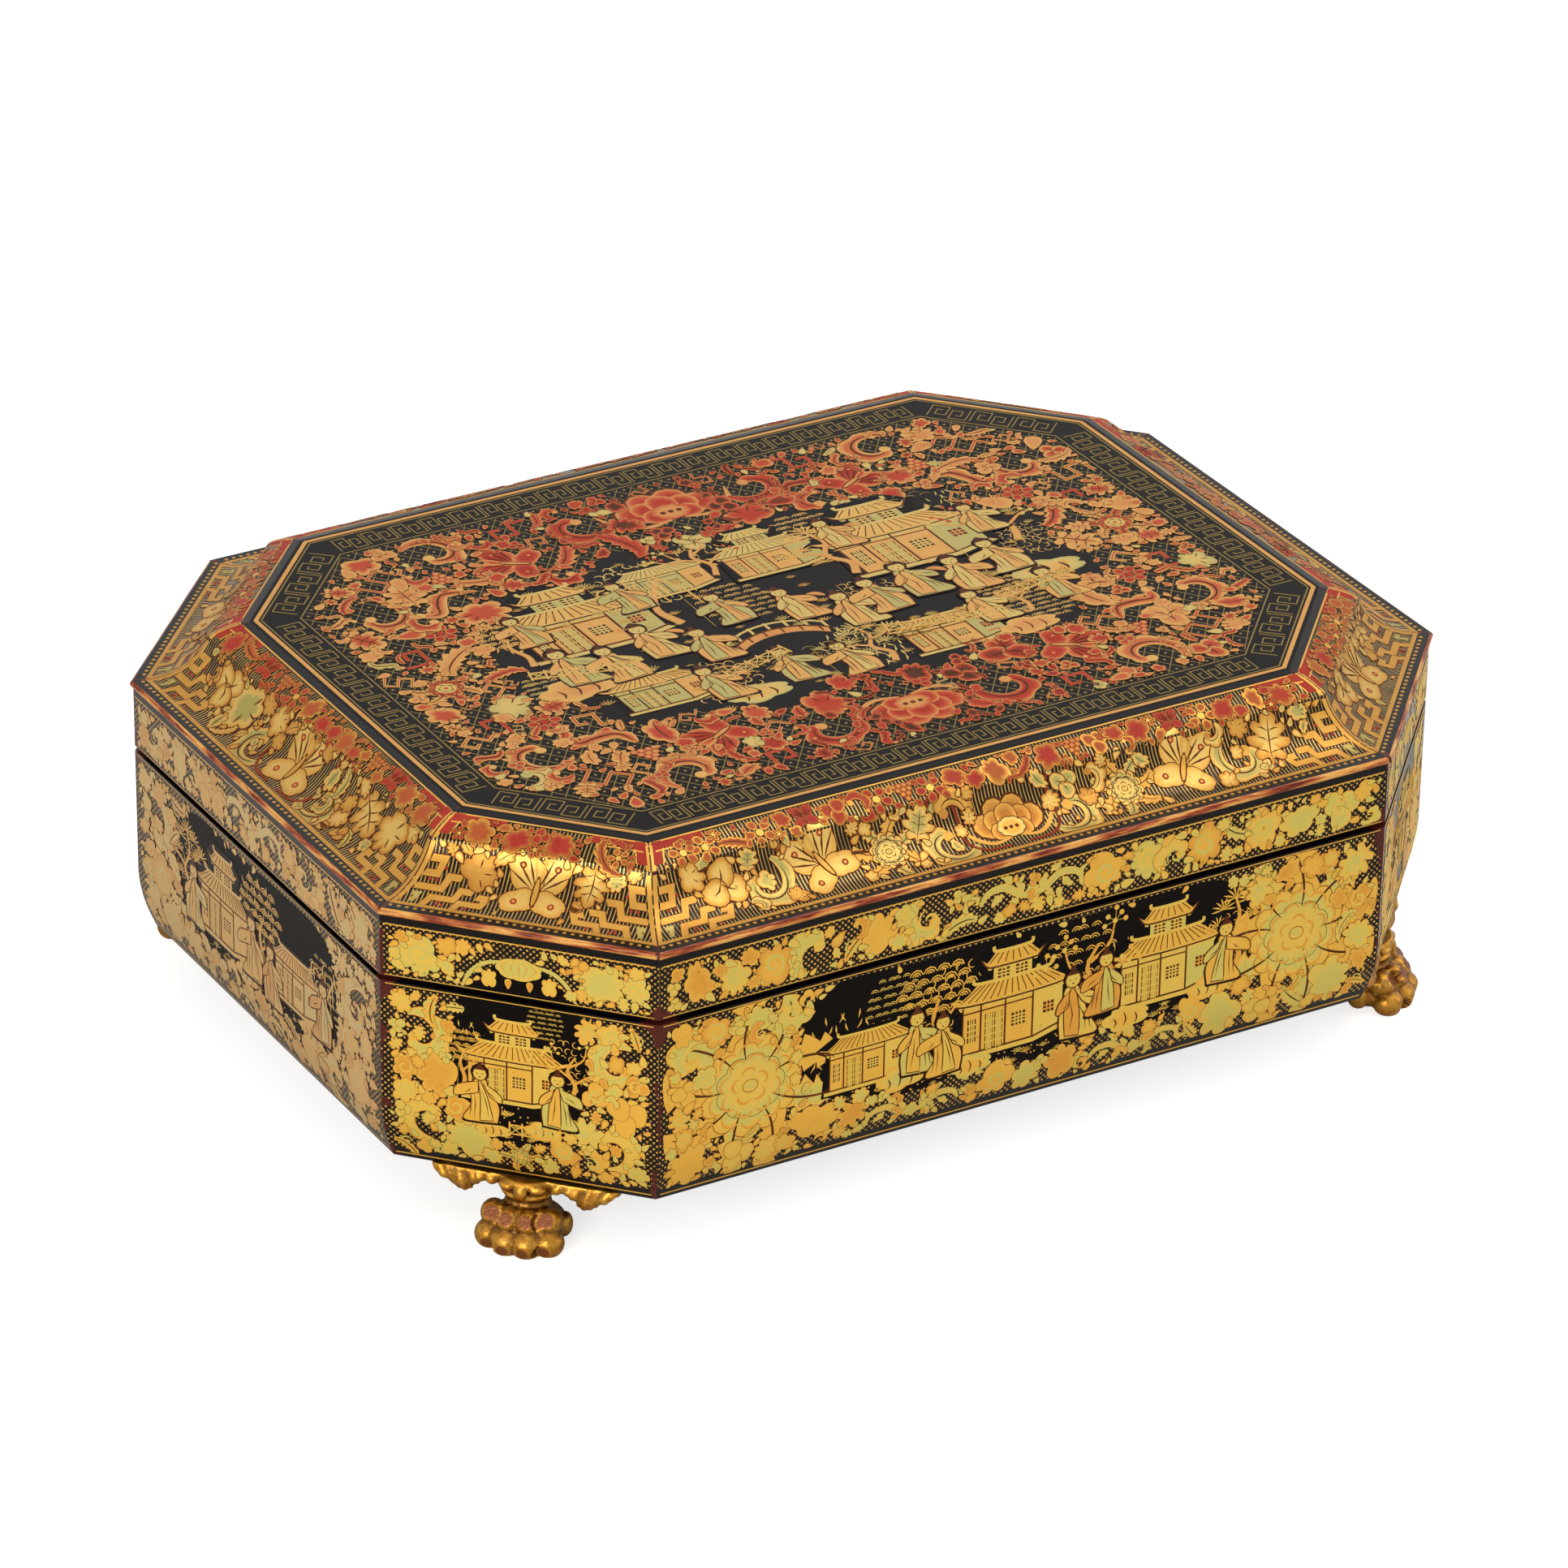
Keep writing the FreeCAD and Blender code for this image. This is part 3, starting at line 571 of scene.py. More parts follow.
def lay(face, name, body, material, layered=True):
    """Turn a face's drawing into closed slabs on the box, as one piece on a body."""
    shapes = stacked(face.shapes) if layered else face.shapes
    points, tones, faces = flat_mesh(shapes)
    if len(face.rows):
        points, tones, faces = cut_in_rows(points, tones, faces, face.rows)
    u, v, lift = points.T
    top = face.locate(u, v, lift)
    bottom = face.locate(u, v, np.full(len(u), -SINK))
    count = len(points)
    edges = set()
    for loop in faces:
        edges.update(zip(loop, loop[1:] + loop[:1]))
    solid = list(faces)
    solid += [tuple(i + count for i in reversed(loop)) for loop in faces]
    solid += [(b, a, a + count, b + count) for a, b in edges if (b, a) not in edges]
    mesh = bpy.data.meshes.new(name)
    mesh.from_pydata(np.concatenate([top, bottom]) * MM, [], solid)
    layer = mesh.attributes.new("tone", "FLOAT", "POINT")
    layer.data.foreach_set("value", np.tile(tones, 2).astype(np.float32))
    mesh.polygons.foreach_set("use_smooth", [True] * len(mesh.polygons))
    mesh.set_sharp_from_angle(angle=SLAB_EDGE)
    mesh.materials.append(material)
    made = linked(name, mesh)
    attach(made, body)
    highest = max(lift for rings, lift in shapes)
    print("%-28s %5d shapes %7d faces, %.2f mm high" % (name, len(shapes), len(solid), highest))


# %% [markdown]
# ## Where the faces of the box lie
# A flat drawing is laid on each face of the box. A case wall stands upright and curves inwards at its
# foot. A lid wall is flat. The ogee is measured along its own curve: a flat margin, the hollow, and
# the rounded shoulder. The points stand off the surface by the lift, square to it.

# %% Faces of the box
OGEE_MARGIN = margin_inset - bead_radius
OGEE_COVE = cove_radius * cove_angle
OGEE_SHOULDER = shoulder_radius * shoulder_angle
OGEE_WIDTH = OGEE_MARGIN + OGEE_COVE + OGEE_SHOULDER
OGEE_ARRIS = OGEE_MARGIN + OGEE_COVE
OGEE_KNOTS = np.array([0, *np.arange(OGEE_MARGIN, OGEE_WIDTH, 1.7), OGEE_WIDTH])
CASE_KNOTS = np.array([case_low, *np.arange(case_low + 2.5, case_low + foot_curve_height + 1, 2.8), rim_step])


def on_side(side, u, inset, height):
    """World point of a place on a side, in mm."""
    turn, middle = SIDES[side][:2]
    angle = math.radians(turn)
    x = middle[0] + u * math.cos(angle) - inset * math.sin(angle)
    y = middle[1] + u * math.sin(angle) + inset * math.cos(angle)
    return np.column_stack([x, y, height])


def wall_inset(v):
    """How far a case wall stands in from the outer line at a height."""
    below = np.clip(case_low + foot_curve_height - v, 0, None)
    return side_inset + foot_curve_radius - np.sqrt(foot_curve_radius ** 2 - below ** 2)


def wall_profile(v):
    """Inset and height of a case wall, and its outward direction."""
    below = np.clip(case_low + foot_curve_height - v, 0, None) / foot_curve_radius
    return wall_inset(v), v, np.sqrt(1 - below ** 2), -below


def ogee_profile(v):
    """Inset and height at a distance along the ogee from its lower edge, and its outward direction."""
    bend = np.clip((v - OGEE_MARGIN) / cove_radius, 0, cove_angle)
    inset = bead_radius + np.clip(v, None, OGEE_MARGIN) + cove_radius * np.sin(bend)
    height = margin_height + cove_radius * (1 - np.cos(bend))
    past = np.clip((v - OGEE_ARRIS) / shoulder_radius, 0, shoulder_angle)
    start = math.atan2(shoulder_rise, shoulder_width) + shoulder_angle / 2
    inset = inset + shoulder_radius * (math.sin(start) - np.sin(start - past))
    height = height + shoulder_radius * (np.cos(start - past) - math.cos(start))
    slope = np.where(v > OGEE_ARRIS, start - past, bend)
    return inset, height, np.sin(slope), np.cos(slope)


def bent_face(side, profile, knots, limit):
    """A face for a curved side. It is flat between the knots, so that all its slabs keep apart."""
    parts = profile(knots)

    def locate(u, v, lift):
        inset, height, out, up = (np.interp(v, knots, part) for part in parts)
        return on_side(side, u, inset - lift * out, height + lift * up)
    return Face(locate, knots[1:-1], limit)


def top_locator(u, v, lift):
    return np.column_stack([u, v, top_height + lift])


def half_at(side, inset, right_end=True):
    """Half length of a side at an inset, at one of its mitred ends."""
    return SIDES[side][2] - SIDES[side][4 if right_end else 3] * inset


def held(distance):
    """Distances to a border in mm, eased so that none goes beyond it."""
    eased = SOFT_BORDER * np.exp(np.minimum(distance / SOFT_BORDER, 1) - 1)
    return np.where(distance > SOFT_BORDER, distance, eased)


def side_limit(side, inset_at, low, high, margin):
    """Keep a drawing between two heights of a side and clear of its mitres."""
    def limit(points):
        u, v = points.T
        v = low + held(v - low)
        v = high - held(high - v)
        inset = inset_at(v)
        left, right = margin - half_at(side, inset, False), half_at(side, inset) - margin
        u = left + held(u - left)
        return np.column_stack([right - held(right - u), v])
    return limit


print("ogee %.1f mm along its curve, arris at %.1f" % (OGEE_WIDTH, OGEE_ARRIS))

# %% [markdown]
# ## Drawing tools
# The ornament is made of few kinds of marks, as a painter's hand makes them: an outline with rounded
# lobes, a stroke that swells and tapers along a path, a strap with sharp corners, and a disc.

# %% Marks


def lobed(lobes, depth=0.25, steps=5):
    """Closed outline of unit radius with rounded lobes, each an arc of a circle."""
    turn = np.arange(lobes * steps) * 2 * math.pi / (lobes * steps)
    notch = 1 - depth
    middle = (1 - notch ** 2) / (2 - 2 * notch * math.cos(math.pi / lobes))
    off = turn % (2 * math.pi / lobes) - math.pi / lobes
    radius = middle * np.cos(off) + np.sqrt((1 - middle) ** 2 - (middle * np.sin(off)) ** 2 + 1e-9)
    return np.column_stack([radius * np.cos(turn), radius * np.sin(turn)])


def shaped(outline, length=1.0, width=1.0, taper=0.0, bend=0.0, shift=(0, 0)):
    """Stretch an outline, narrow it towards one end and bend it."""
    x = outline[:, 0] * length
    y = outline[:, 1] * width * (1 - taper * outline[:, 0])
    return np.column_stack([x + shift[0], y + bend * x * x + shift[1]])


def blob(outline, edge, core, level=LIFT_LEAF, share=0.5, middle=(0, 0)):
    """A filled outline whose colour runs from its edge to its core."""
    middle = np.array(middle)
    return ([(outline, edge), (middle + (outline - middle) * share, core)], level)


def plate(outline, tone, level=LIFT_LEAF):
    return ([(np.asarray(outline, float), tone)], level)


def disc(x, y, radius, tone, level=LIFT_LEAF, sides=8):
    turn = np.arange(sides) * 2 * math.pi / sides
    return plate(np.column_stack([x + radius * np.cos(turn), y + radius * np.sin(turn)]), tone, level)


def across_path(path):
    path = np.asarray(path, float)
    ahead = np.gradient(path, axis=0)
    ahead /= np.maximum(np.linalg.norm(ahead, axis=1), 1e-9)[:, None]
    return path, np.column_stack([-ahead[:, 1], ahead[:, 0]])


def stroke(path, width, tone, level=LIFT_LINE, taper=0.8):
    """A stroke of one tone along a path, thinner at its ends by the taper."""
    path, side = across_path(path)
    swell = 1 - taper * np.abs(np.linspace(-1, 1, len(path))) ** 2.5
    reach = side * (width / 2 * swell)[:, None]
    return plate(np.concatenate([path + reach, (path - reach)[::-1]]), tone, level)


RIBBON_CORE = 0.4


def ribbon(path, left, right, edge, core, level=LIFT_LEAF):
    """A broad stroke with its own widths to the left and right, softly shaded along its middle."""
    path, side = across_path(path)
    one = side * np.asarray(left)[:, None]
    two = -side * np.asarray(right)[:, None]
    outer = np.concatenate([path + one, (path + two)[::-1]])
    inner = np.concatenate([path + RIBBON_CORE * one, (path + RIBBON_CORE * two)[::-1]])
    return ([(outer, edge), (inner, core)], level)


def strap(corners, width, tone, level=LIFT_LEAF):
    """A band of even width along straight runs, with mitred corners."""
    corners = np.asarray(corners, float)
    runs = np.diff(corners, axis=0)
    runs /= np.linalg.norm(runs, axis=1)[:, None]
    normals = np.column_stack([-runs[:, 1], runs[:, 0]])
    offset = np.concatenate([normals[:1], normals])
    following = np.concatenate([normals, normals[-1:]])
    middle = offset + following
    middle /= np.sum(middle * following, axis=1)[:, None]
    reach = middle * width / 2
    return plate(np.concatenate([corners + reach, (corners - reach)[::-1]]), tone, level)


def arc(x, y, radius, start, end, steps=7):
    """Points along an arc, in degrees."""
    turn = np.radians(np.linspace(start, end, steps))
    return np.column_stack([x + radius * np.cos(turn), y + radius * np.sin(turn)])


def curve(points, steps=5):
    """Smooth path through a few given points."""
    points = np.asarray(points, float)
    padded = np.concatenate([2 * points[:1] - points[1:2], points, 2 * points[-1:] - points[-2:-1]])
    path = []
    for i in range(1, len(padded) - 2):
        a, b, c, d = padded[i - 1:i + 3]
        for t in np.arange(steps) / steps:
            path.append(0.5 * (2 * b + (c - a) * t + (2 * a - 5 * b + 4 * c - d) * t * t
                               + (3 * b - a - 3 * c + d) * t ** 3))
    path.append(points[-1])
    return np.array(path)


def strokes(paths, width, tone, level=LIFT_LINE, taper=0.8):
    return [stroke(path, width, tone, level, taper) for path in paths]


print("marks ready")

# %% [markdown]
# ## Leaves, curls and flowers
# These are the stock motifs of export lacquer. Each is drawn about one unit in radius in a pair of
# tones, edge and core, so that the same leaf serves in yellow and green gold on the sides and in
# orange and red on the top. Dark engraved lines divide the leaves where the painter drew them.

# %% Leaf motifs
VEIN = 0.07


def cloud_leaf(edge, core, lobes=7, length=1.0, width=0.8, veins=0, seed=0):
    """A rounded leaf with soft lobes, like a cloud, larger on one side than on the other."""
    even = lobed(lobes, 0.3, 7)
    step = np.arctan2(even[:, 1], even[:, 0])
    turn = step + 0.4 * np.sin(step + seed)
    radius = np.hypot(even[:, 0], even[:, 1]) * (1 + 0.12 * np.cos(turn - 2 * seed))
    round_leaf = np.column_stack([radius * np.cos(turn), radius * np.sin(turn)])
    outline = shaped(round_leaf, length, width, 0.15, 0.08 * (1 - seed % 3))
    made = [blob(outline, edge, core, share=0.5)]
    for i in range(veins):
        turn = 2 * math.pi * i / lobes
        tip = np.array([length * math.cos(turn), width * math.sin(turn)])
        made.append(stroke([0.28 * tip, 0.5 * tip, 0.7 * tip], VEIN, DARK))
    return made


def trefoil(edge, core, veins=True):
    """Three lobes on a short stalk."""
    made = []
    for turn in (90, 205, 335):
        x, y = 0.42 * math.cos(math.radians(turn)), 0.42 * math.sin(math.radians(turn))
        made.append(blob(shaped(lobed(3, 0.16), 0.55, 0.5, shift=(x, y)), edge, core, share=0.5,
                         middle=(x, y)))
    if veins:
        bends = (((0.03, 0.2), (0, 0.5)), ((-0.25, -0.12), (-0.5, -0.25)), ((0.25, -0.08), (0.5, -0.2)))
        made += strokes([[(0, -0.1), *bend] for bend in bends], VEIN, DARK)
    return made


def leaf(edge, core, lobes=8, width=0.42, bend=0.25, vein=True):
    """A long lobed leaf from (-1, 0) to (1, 0)."""
    outline = shaped(lobed(lobes, 0.24), 1.0, width, 0.3, bend)
    made = [blob(outline, edge, core, share=0.45)]
    if vein:
        rib = np.linspace(-0.85, 0.6, 6)
        made.append(stroke(np.column_stack([rib, bend * rib * rib]), VEIN, DARK))
    return made


def curl(edge, core, turns=0.8, width=0.3, lobes=4, vein=True):
    """A scrolling leaf: it starts broad and lobed and rolls up into a knob."""
    t = np.linspace(0, 1, 22)
    angle = 2 * math.pi * turns * t
    radius = 1 - 0.72 * t
    path = np.column_stack([radius * np.cos(angle), radius * np.sin(angle)])
    swell = width * np.sin(math.pi * np.clip(t * 0.9 + 0.06, 0, 1)) ** 0.7
    outside = swell * (0.75 + 0.75 * np.abs(np.sin(math.pi * lobes * t)))
    made = [ribbon(path, np.minimum(swell * 0.7, radius * 0.7), outside, edge, core)]
    made.append(disc(path[-1][0], path[-1][1], width * 0.62, edge, LIFT_OVER, 9))
    if vein:
        made.append(stroke(path[2:19] * 0.99, VEIN, DARK))
    return made


def wave_leaf(edge, core, vein=True):
    """An S-shaped leaf with lobes on its outer side."""
    path = curve([(-1, -0.15), (-0.45, 0.3), (0.15, 0.05), (0.6, -0.3), (1.0, 0.05)])
    t = np.linspace(0, 1, len(path))
    swell = 0.28 * np.sin(math.pi * np.clip(t * 0.92 + 0.05, 0, 1)) ** 0.6
    made = [ribbon(path, swell * (0.7 + 0.7 * np.abs(np.sin(math.pi * 4 * t))), swell, edge, core)]
    made.append(disc(path[-1][0], path[-1][1] + 0.05, 0.17, edge, LIFT_OVER, 9))
    if vein:
        made.append(stroke(path[1:-3], VEIN, DARK))
    return made


def swirl(tone):
    """A soft brush mark that curls up inside a leaf."""
    turn = np.linspace(0, 7.6, 18)
    radius = 0.52 - 0.05 * turn
    return [stroke(np.column_stack([radius * np.cos(turn), radius * np.sin(turn)]), 0.15, tone, LIFT_OVER)]


def drop(edge, core):
    outline = shaped(lobed(1, 0.0, 10), 1.0, 0.55, 0.55)
    return [blob(outline, edge, core, share=0.5)]


def blossom(edge, core, petals=6, heart=RED):
    """A small open flower of round petals."""
    made = []
    for i in range(petals):
        turn = 360 * i / petals
        made += moved([blob(shaped(lobed(1, 0, 9), 0.36, 0.3, -0.2), edge, core)],
                      0.62 * math.cos(math.radians(turn)), 0.62 * math.sin(math.radians(turn)), 1, turn)
    made.append(disc(0, 0, 0.24, heart, LIFT_OVER))
    return made


def berries(edge, core, rows=4):
    """A hanging bunch of round fruit."""
    made = []
    for row in range(rows):
        for i in range(rows - row):
            x = (i - (rows - row - 1) / 2) * 0.42
            y = 0.55 - row * 0.37
            ring = lobed(1, 0, 8) * 0.22 + (x, y)
            made.append(plate(lobed(1, 0, 8) * 0.25 + (x, y), DARK, LIFT_LEAF))
            made.append(blob(ring, edge, core, LIFT_OVER, 0.4, (x, y)))
    return made


def butterfly(edge, core, spots=RED):
    """Two pairs of scalloped wings, a body and two feelers."""
    made = []
    for sign in (-1, 1):
        upper = shaped(lobed(5, 0.14), 0.62, 0.42, 0.25)
        lower = shaped(lobed(4, 0.16), 0.46, 0.34, 0.1)
        made += moved([blob(upper, edge, core)], 0.52, sign * 0.34, 1, sign * 38)
        made += moved([blob(lower, edge, core)], -0.28, sign * 0.38, 1, sign * 112)
        for x, y in ((0.62, 0.42), (0.9, 0.6), (-0.3, 0.45)):
            made.append(disc(x, sign * y, 0.09, spots, LIFT_OVER, 7))
            made.append(disc(x, sign * y, 0.045, edge, LIFT_LINE, 6))
        for turn in (20, 38, 56):
            far = np.array([math.cos(math.radians(turn)), sign * math.sin(math.radians(turn))])
            made.append(stroke([far * 0.2, far * 0.5, far * 0.85], 0.05, DARK))
        made.append(stroke(curve([(0.3, sign * 0.04), (0.75, sign * 0.12), (0.98, sign * 0.02)]), 0.06, edge))
    made.append(plate(shaped(lobed(1, 0, 10), 0.42, 0.1), DARK, LIFT_OVER))
    made.append(plate(shaped(lobed(1, 0, 10), 0.36, 0.06), edge, LIFT_LINE))
    return made


def lotus(edge, core, heart=PALE):
    """An open lotus with a round heart, its petals drawn in pairs."""
    made = []
    for reach, wide, turns in ((1.0, 0.34, (150, 30, 110, 70)), (0.8, 0.3, (130, 50, 90)),
                               (0.55, 0.26, (160, 20))):
        for turn in turns:
            petal = shaped(lobed(1, 0, 12), reach / 2, wide, -0.25, 0, (reach / 2, 0))
            made += moved([plate(petal, DARK, LIFT_LEAF)], 0, -0.35, 1.0, turn)
            inner = shaped(lobed(1, 0, 12), reach / 2 * 0.9, wide * 0.84, -0.25, 0, (reach / 2, 0))
            shaded = blob(inner, edge, core, LIFT_LEAF + 0.02, 0.5, (reach / 2, 0))
            made += moved([shaded], 0, -0.35, 1.0, turn)
    seed_head = shaped(lobed(9, 0.1), 0.34, 0.26, shift=(0, -0.18))
    made.append(blob(seed_head, heart, edge, LIFT_OVER, 0.6, (0, -0.18)))
    for x in (-0.14, 0, 0.14):
        made.append(disc(x, -0.18, 0.05, DARK, LIFT_LINE, 6))
    for sign in (-1, 1):
        stem = curve([(sign * 0.1, -0.45), (sign * 0.6, -0.5), (sign * 1.0, -0.2), (sign * 1.15, 0.2)])
        made.append(stroke(stem, 0.1, edge, LIFT_OVER))
    return made


def acanthus(edge, core, bend=0.5, teeth=6, width=0.27):
    """A long leaf from (0, 0) that curls over to one side, its edges cut into teeth."""
    path = curve([(0, 0), (0.3, 0.03 * bend), (0.62, 0.24 * bend), (0.88, 0.6 * bend), (0.95, 1.1 * bend)], 9)
    t = np.linspace(0, 1, len(path))
    swell = width * np.sin(math.pi * np.clip(t * 0.9 + 0.09, 0, 1)) ** 0.7
    tooth = 1 - 0.5 * ((t * teeth) % 1)
    made = [ribbon(path, swell * 0.7 * tooth, swell * tooth, edge, core)]
    made.append(stroke(path[2:-6], 0.035, DARK))
    return made


def peony(edge, core, leaves=7, line=DARK):
    """A round flower of crowded petals, drawn as rows of arcs, with long toothed leaves behind it."""
    made = []
    for i in range(leaves):
        turn = 360 * i / leaves + 11 * (i % 2)
        spray = acanthus(edge, core if i % 2 else edge, 0.5 - 0.9 * (i % 2), 5, 0.36)
        x, y = 0.3 * math.cos(math.radians(turn)), 0.3 * math.sin(math.radians(turn))
        made += moved(spray, x, y, 0.85, turn)
    made.append(plate(lobed(11, 0.18, 5) * 0.69, line, LIFT_OVER - 0.04))
    made.append(blob(lobed(11, 0.18, 5) * 0.67, edge, core, LIFT_OVER - 0.015, 0.72))
    heart = PALE if edge >= ORANGE else edge
    made.append(blob(shaped(lobed(9, 0.12, 5), 0.46, 0.42), core, heart, LIFT_OVER, 0.6))
    for count, reach, size in ((10, 0.44, 0.13), (8, 0.3, 0.11), (5, 0.15, 0.09)):
        for i in range(count):
            turn = 2 * math.pi * (i + reach) / count
            x, y = reach * math.cos(turn), reach * math.sin(turn)
            petal = arc(x, y, size, math.degrees(turn) - 82, math.degrees(turn) + 82, 8)
            made.append(stroke(petal, 0.032, line))
    made.append(blob(shaped(lobed(1, 0, 12), 0.1, 0.08), edge, core, LIFT_OVER + 0.02, 0.5))
    return made


def toothed_leaf(edge, core, vein=True):
    """A broad leaf cut into round-tipped lobes on both sides of its rib."""
    half = [(-1.0, 0.04), (-0.72, 0.1), (-0.82, 0.42), (-0.56, 0.56), (-0.38, 0.34), (-0.26, 0.7),
            (0.02, 0.8), (0.1, 0.44), (0.34, 0.66), (0.58, 0.56), (0.5, 0.3), (0.76, 0.3), (0.96, 0.02)]
    upper = curve(half, 3)
    outline = np.concatenate([upper, upper[::-1] * (1, -1)])
    made = [blob(outline, edge, core, share=0.42)]
    if vein:
        made.append(stroke([(-0.9, 0), (0, 0.03), (0.7, 0)], 0.06, DARK))
        made += strokes([[(x - 0.1, 0), (x, sign * 0.2), (x + 0.04, sign * 0.42)]
                         for x in (-0.45, 0.0, 0.35) for sign in (1, -1)], 0.05, DARK)
    return made


def fret(tone, kind=0, width=0.17, core=None):
    """Angular strapwork: a hooked key shape about two units long."""
    shapes = (
        ((-1, -0.5), (-1, 0.5), (0.1, 0.5), (0.1, -0.15), (-0.5, -0.15)),
        ((-1, 0.5), (-0.3, 0.5), (-0.3, -0.4), (0.5, -0.4), (0.5, 0.2), (0.1, 0.2)),
        ((-0.9, -0.45), (-0.9, 0.4), (-0.2, 0.4), (-0.2, -0.45), (0.5, -0.45), (0.5, 0.4), (1.0, 0.4)),
    )
    corners = shapes[kind % len(shapes)]
    made = [strap(corners, width, tone)]
    if core is not None:
        made.append(strap(corners, width * 0.32, core, LIFT_OVER))
    return made


print("motifs ready")

# %% [markdown]
# ## Pavilions, trees and figures
# The middle of each face holds a garden scene of the common export kind. These are generic: houses
# with upturned eaves, lattice windows, crooked trees, rocks, fences and small robed figures with
# plain round faces. Each is built from the same marks, one unit being half the width of a house or
# half the height of a figure, and each scene is laid out further on.

# %% Houses, fences and bridges


def lattice(x, y, width, height, bars=3, tone=PALE):
    """A dark opening filled with crossing bars."""
    made = [plate([(x, y), (x + width, y), (x + width, y + height), (x, y + height)], DARK, LIFT_OVER)]
    for i in range(1, bars + 1):
        bar_x, bar_y = x + width * (i / (bars + 1)), y + height * (i / (bars + 1))
        crossing = [[(bar_x, y), (bar_x, y + height)], [(x, bar_y), (x + width, bar_y)]]
        made += strokes(crossing, 0.025, tone, taper=0)
    return made


def roof(tone, trim, width=1.0, height=0.36, lines=15):
    """A thatched roof with upturned corners, its eave at y 0."""
    low = curve([(-1.2 * width, 0.17), (-0.98 * width, 0.02), (-0.3, -0.02), (0.4, -0.02),
                 (1.0 * width, 0.02), (1.22 * width, 0.17)])
    left = curve([(-0.64 * width, height), (-0.8 * width, height * 0.62), (-0.98 * width, height * 0.3)], 3)
    right = curve([(1.0 * width, height * 0.3), (0.82 * width, height * 0.62), (0.64 * width, height)], 3)
    made = [plate(np.concatenate([low, right, left]), tone, LIFT_OVER)]
    for i in range(lines):
        share = 2 * (i + 0.5) / lines - 1
        top = (share * 0.6 * width, height - 0.02)
        foot = (share * 1.03 * width, 0.03 + 0.06 * abs(share) ** 3)
        made.append(stroke([top, foot], 0.022, DARK, LIFT_LINE, 0.3))
    for i in range(lines):
        share = 2 * (i + 0.5) / lines - 1
        drop_y = -0.05 + 0.05 * abs(share) ** 3
        made.append(disc(share * width, drop_y, 0.07 * min(1, width + 0.2), trim, LIFT_OVER, 6))
    made.append(stroke(low - (0, 0.005), 0.03, DARK, LIFT_LINE, 0))
    ridge = [(-0.74 * width, height + 0.1), (-0.6 * width, height), (0.6 * width, height),
             (0.74 * width, height + 0.1)]
    made.append(stroke(curve(ridge, 4), 0.06, trim, LIFT_LINE, 0))
    return made


def house(wall=ORANGE, end=GREEN, tiles=GOLD, upper=True):
    """A house seen from one corner: front wall, end wall, roof and sometimes an upper storey."""
    back = [(-1.12, -0.14), (0.45, -0.14), (1.1, 0.02), (1.06, 0.9), (1.3, 1.02), (0.7, 1.35), (-0.7, 1.35),
            (-1.3, 1.02), (-1.02, 0.86)]
    made = [
        plate(back, BLACK, LIFT_BACK),
        plate([(-0.92, 0), (0.4, 0), (0.4, 0.88), (-0.92, 0.88)], wall),
        plate([(0.4, 0), (0.96, 0.14), (0.96, 0.9), (0.4, 0.88)], end),
        plate([(-1.05, -0.1), (0.42, -0.1), (1.06, 0.06), (0.96, 0.14), (0.4, 0.0), (-1.05, 0)], PALE),
    ]
    posts = [[(x, 0), (x, 0.86)] for x in (-0.92, -0.58, -0.12, 0.4)]
    made += strokes([*posts, [(-1.05, 0), (0.4, 0), (1.0, 0.15)]], 0.03, DARK, taper=0)
    made.append(stroke([(-0.92, 0.74), (0.4, 0.74)], 0.022, DARK, LIFT_LINE, 0))
    for opening in ((-0.83, 0.2, 0.16, 0.42), (0.0, 0.3, 0.26, 0.24), (0.6, 0.38, 0.2, 0.2, 2, ORANGE),
                    (-0.5, 0.0, 0.15, 0.66, 4), (-0.32, 0.0, 0.15, 0.66, 4)):
        made += lattice(*opening)
    made += moved(roof(tiles, PALE), 0, 0.88)
    if upper:
        back = [(-0.5, 1.2), (0.52, 1.2), (0.7, 1.62), (0.4, 1.9), (-0.4, 1.9), (-0.7, 1.62)]
        made.append(plate(back, BLACK, LIFT_BACK))
        made.append(plate([(-0.36, 1.2), (0.36, 1.2), (0.36, 1.48), (-0.36, 1.48)], end, LIFT_OVER))
        made += lattice(-0.28, 1.25, 0.22, 0.18, 2) + lattice(0.06, 1.25, 0.22, 0.18, 2)
        made += moved(roof(tiles, PALE, 0.5, 0.26, 7), 0, 1.5)
    return made


def fence(bays):
    """A garden fence of posts, two rails and crossing bars, one unit high."""
    rails = [[(0, y), (bays, y)] for y in (0.1, 0.9)]
    posts = [[(i, -0.1), (i, 1.15)] for i in range(bays + 1)]
    bars = [[(i, y), (i + 1, 1 - y)] for i in range(bays) for y in (0.1, 0.9)]
    return (strokes(rails, 0.12, GOLD, LIFT_LEAF, 0) + strokes(posts, 0.14, GOLD, LIFT_OVER, 0)
            + strokes(bars, 0.07, PALE, LIFT_LEAF, 0))


def bridge(tone=ORANGE, rail=PALE):
    """A humped footbridge, two units long."""
    deck = arc(0, -1.1, 1.5, 132, 48, 13)
    under = arc(0, -1.25, 1.42, 48, 132, 13)
    posts = [[(x, y), (x, y + 0.28)] for x, y in deck[::2]]
    stones = [[(x, y - 0.02), (x, y - 0.2)] for x, y in deck[1::2]]
    return [
        plate(np.concatenate([deck, under]), tone), stroke(deck + (0, 0.24), 0.06, rail, LIFT_LEAF, 0),
        *strokes(posts, 0.06, rail, LIFT_OVER, 0), stroke(deck, 0.04, DARK, LIFT_LINE, 0),
        *strokes(stones, 0.03, DARK, taper=0),
    ]


# %% Trees, rocks and water


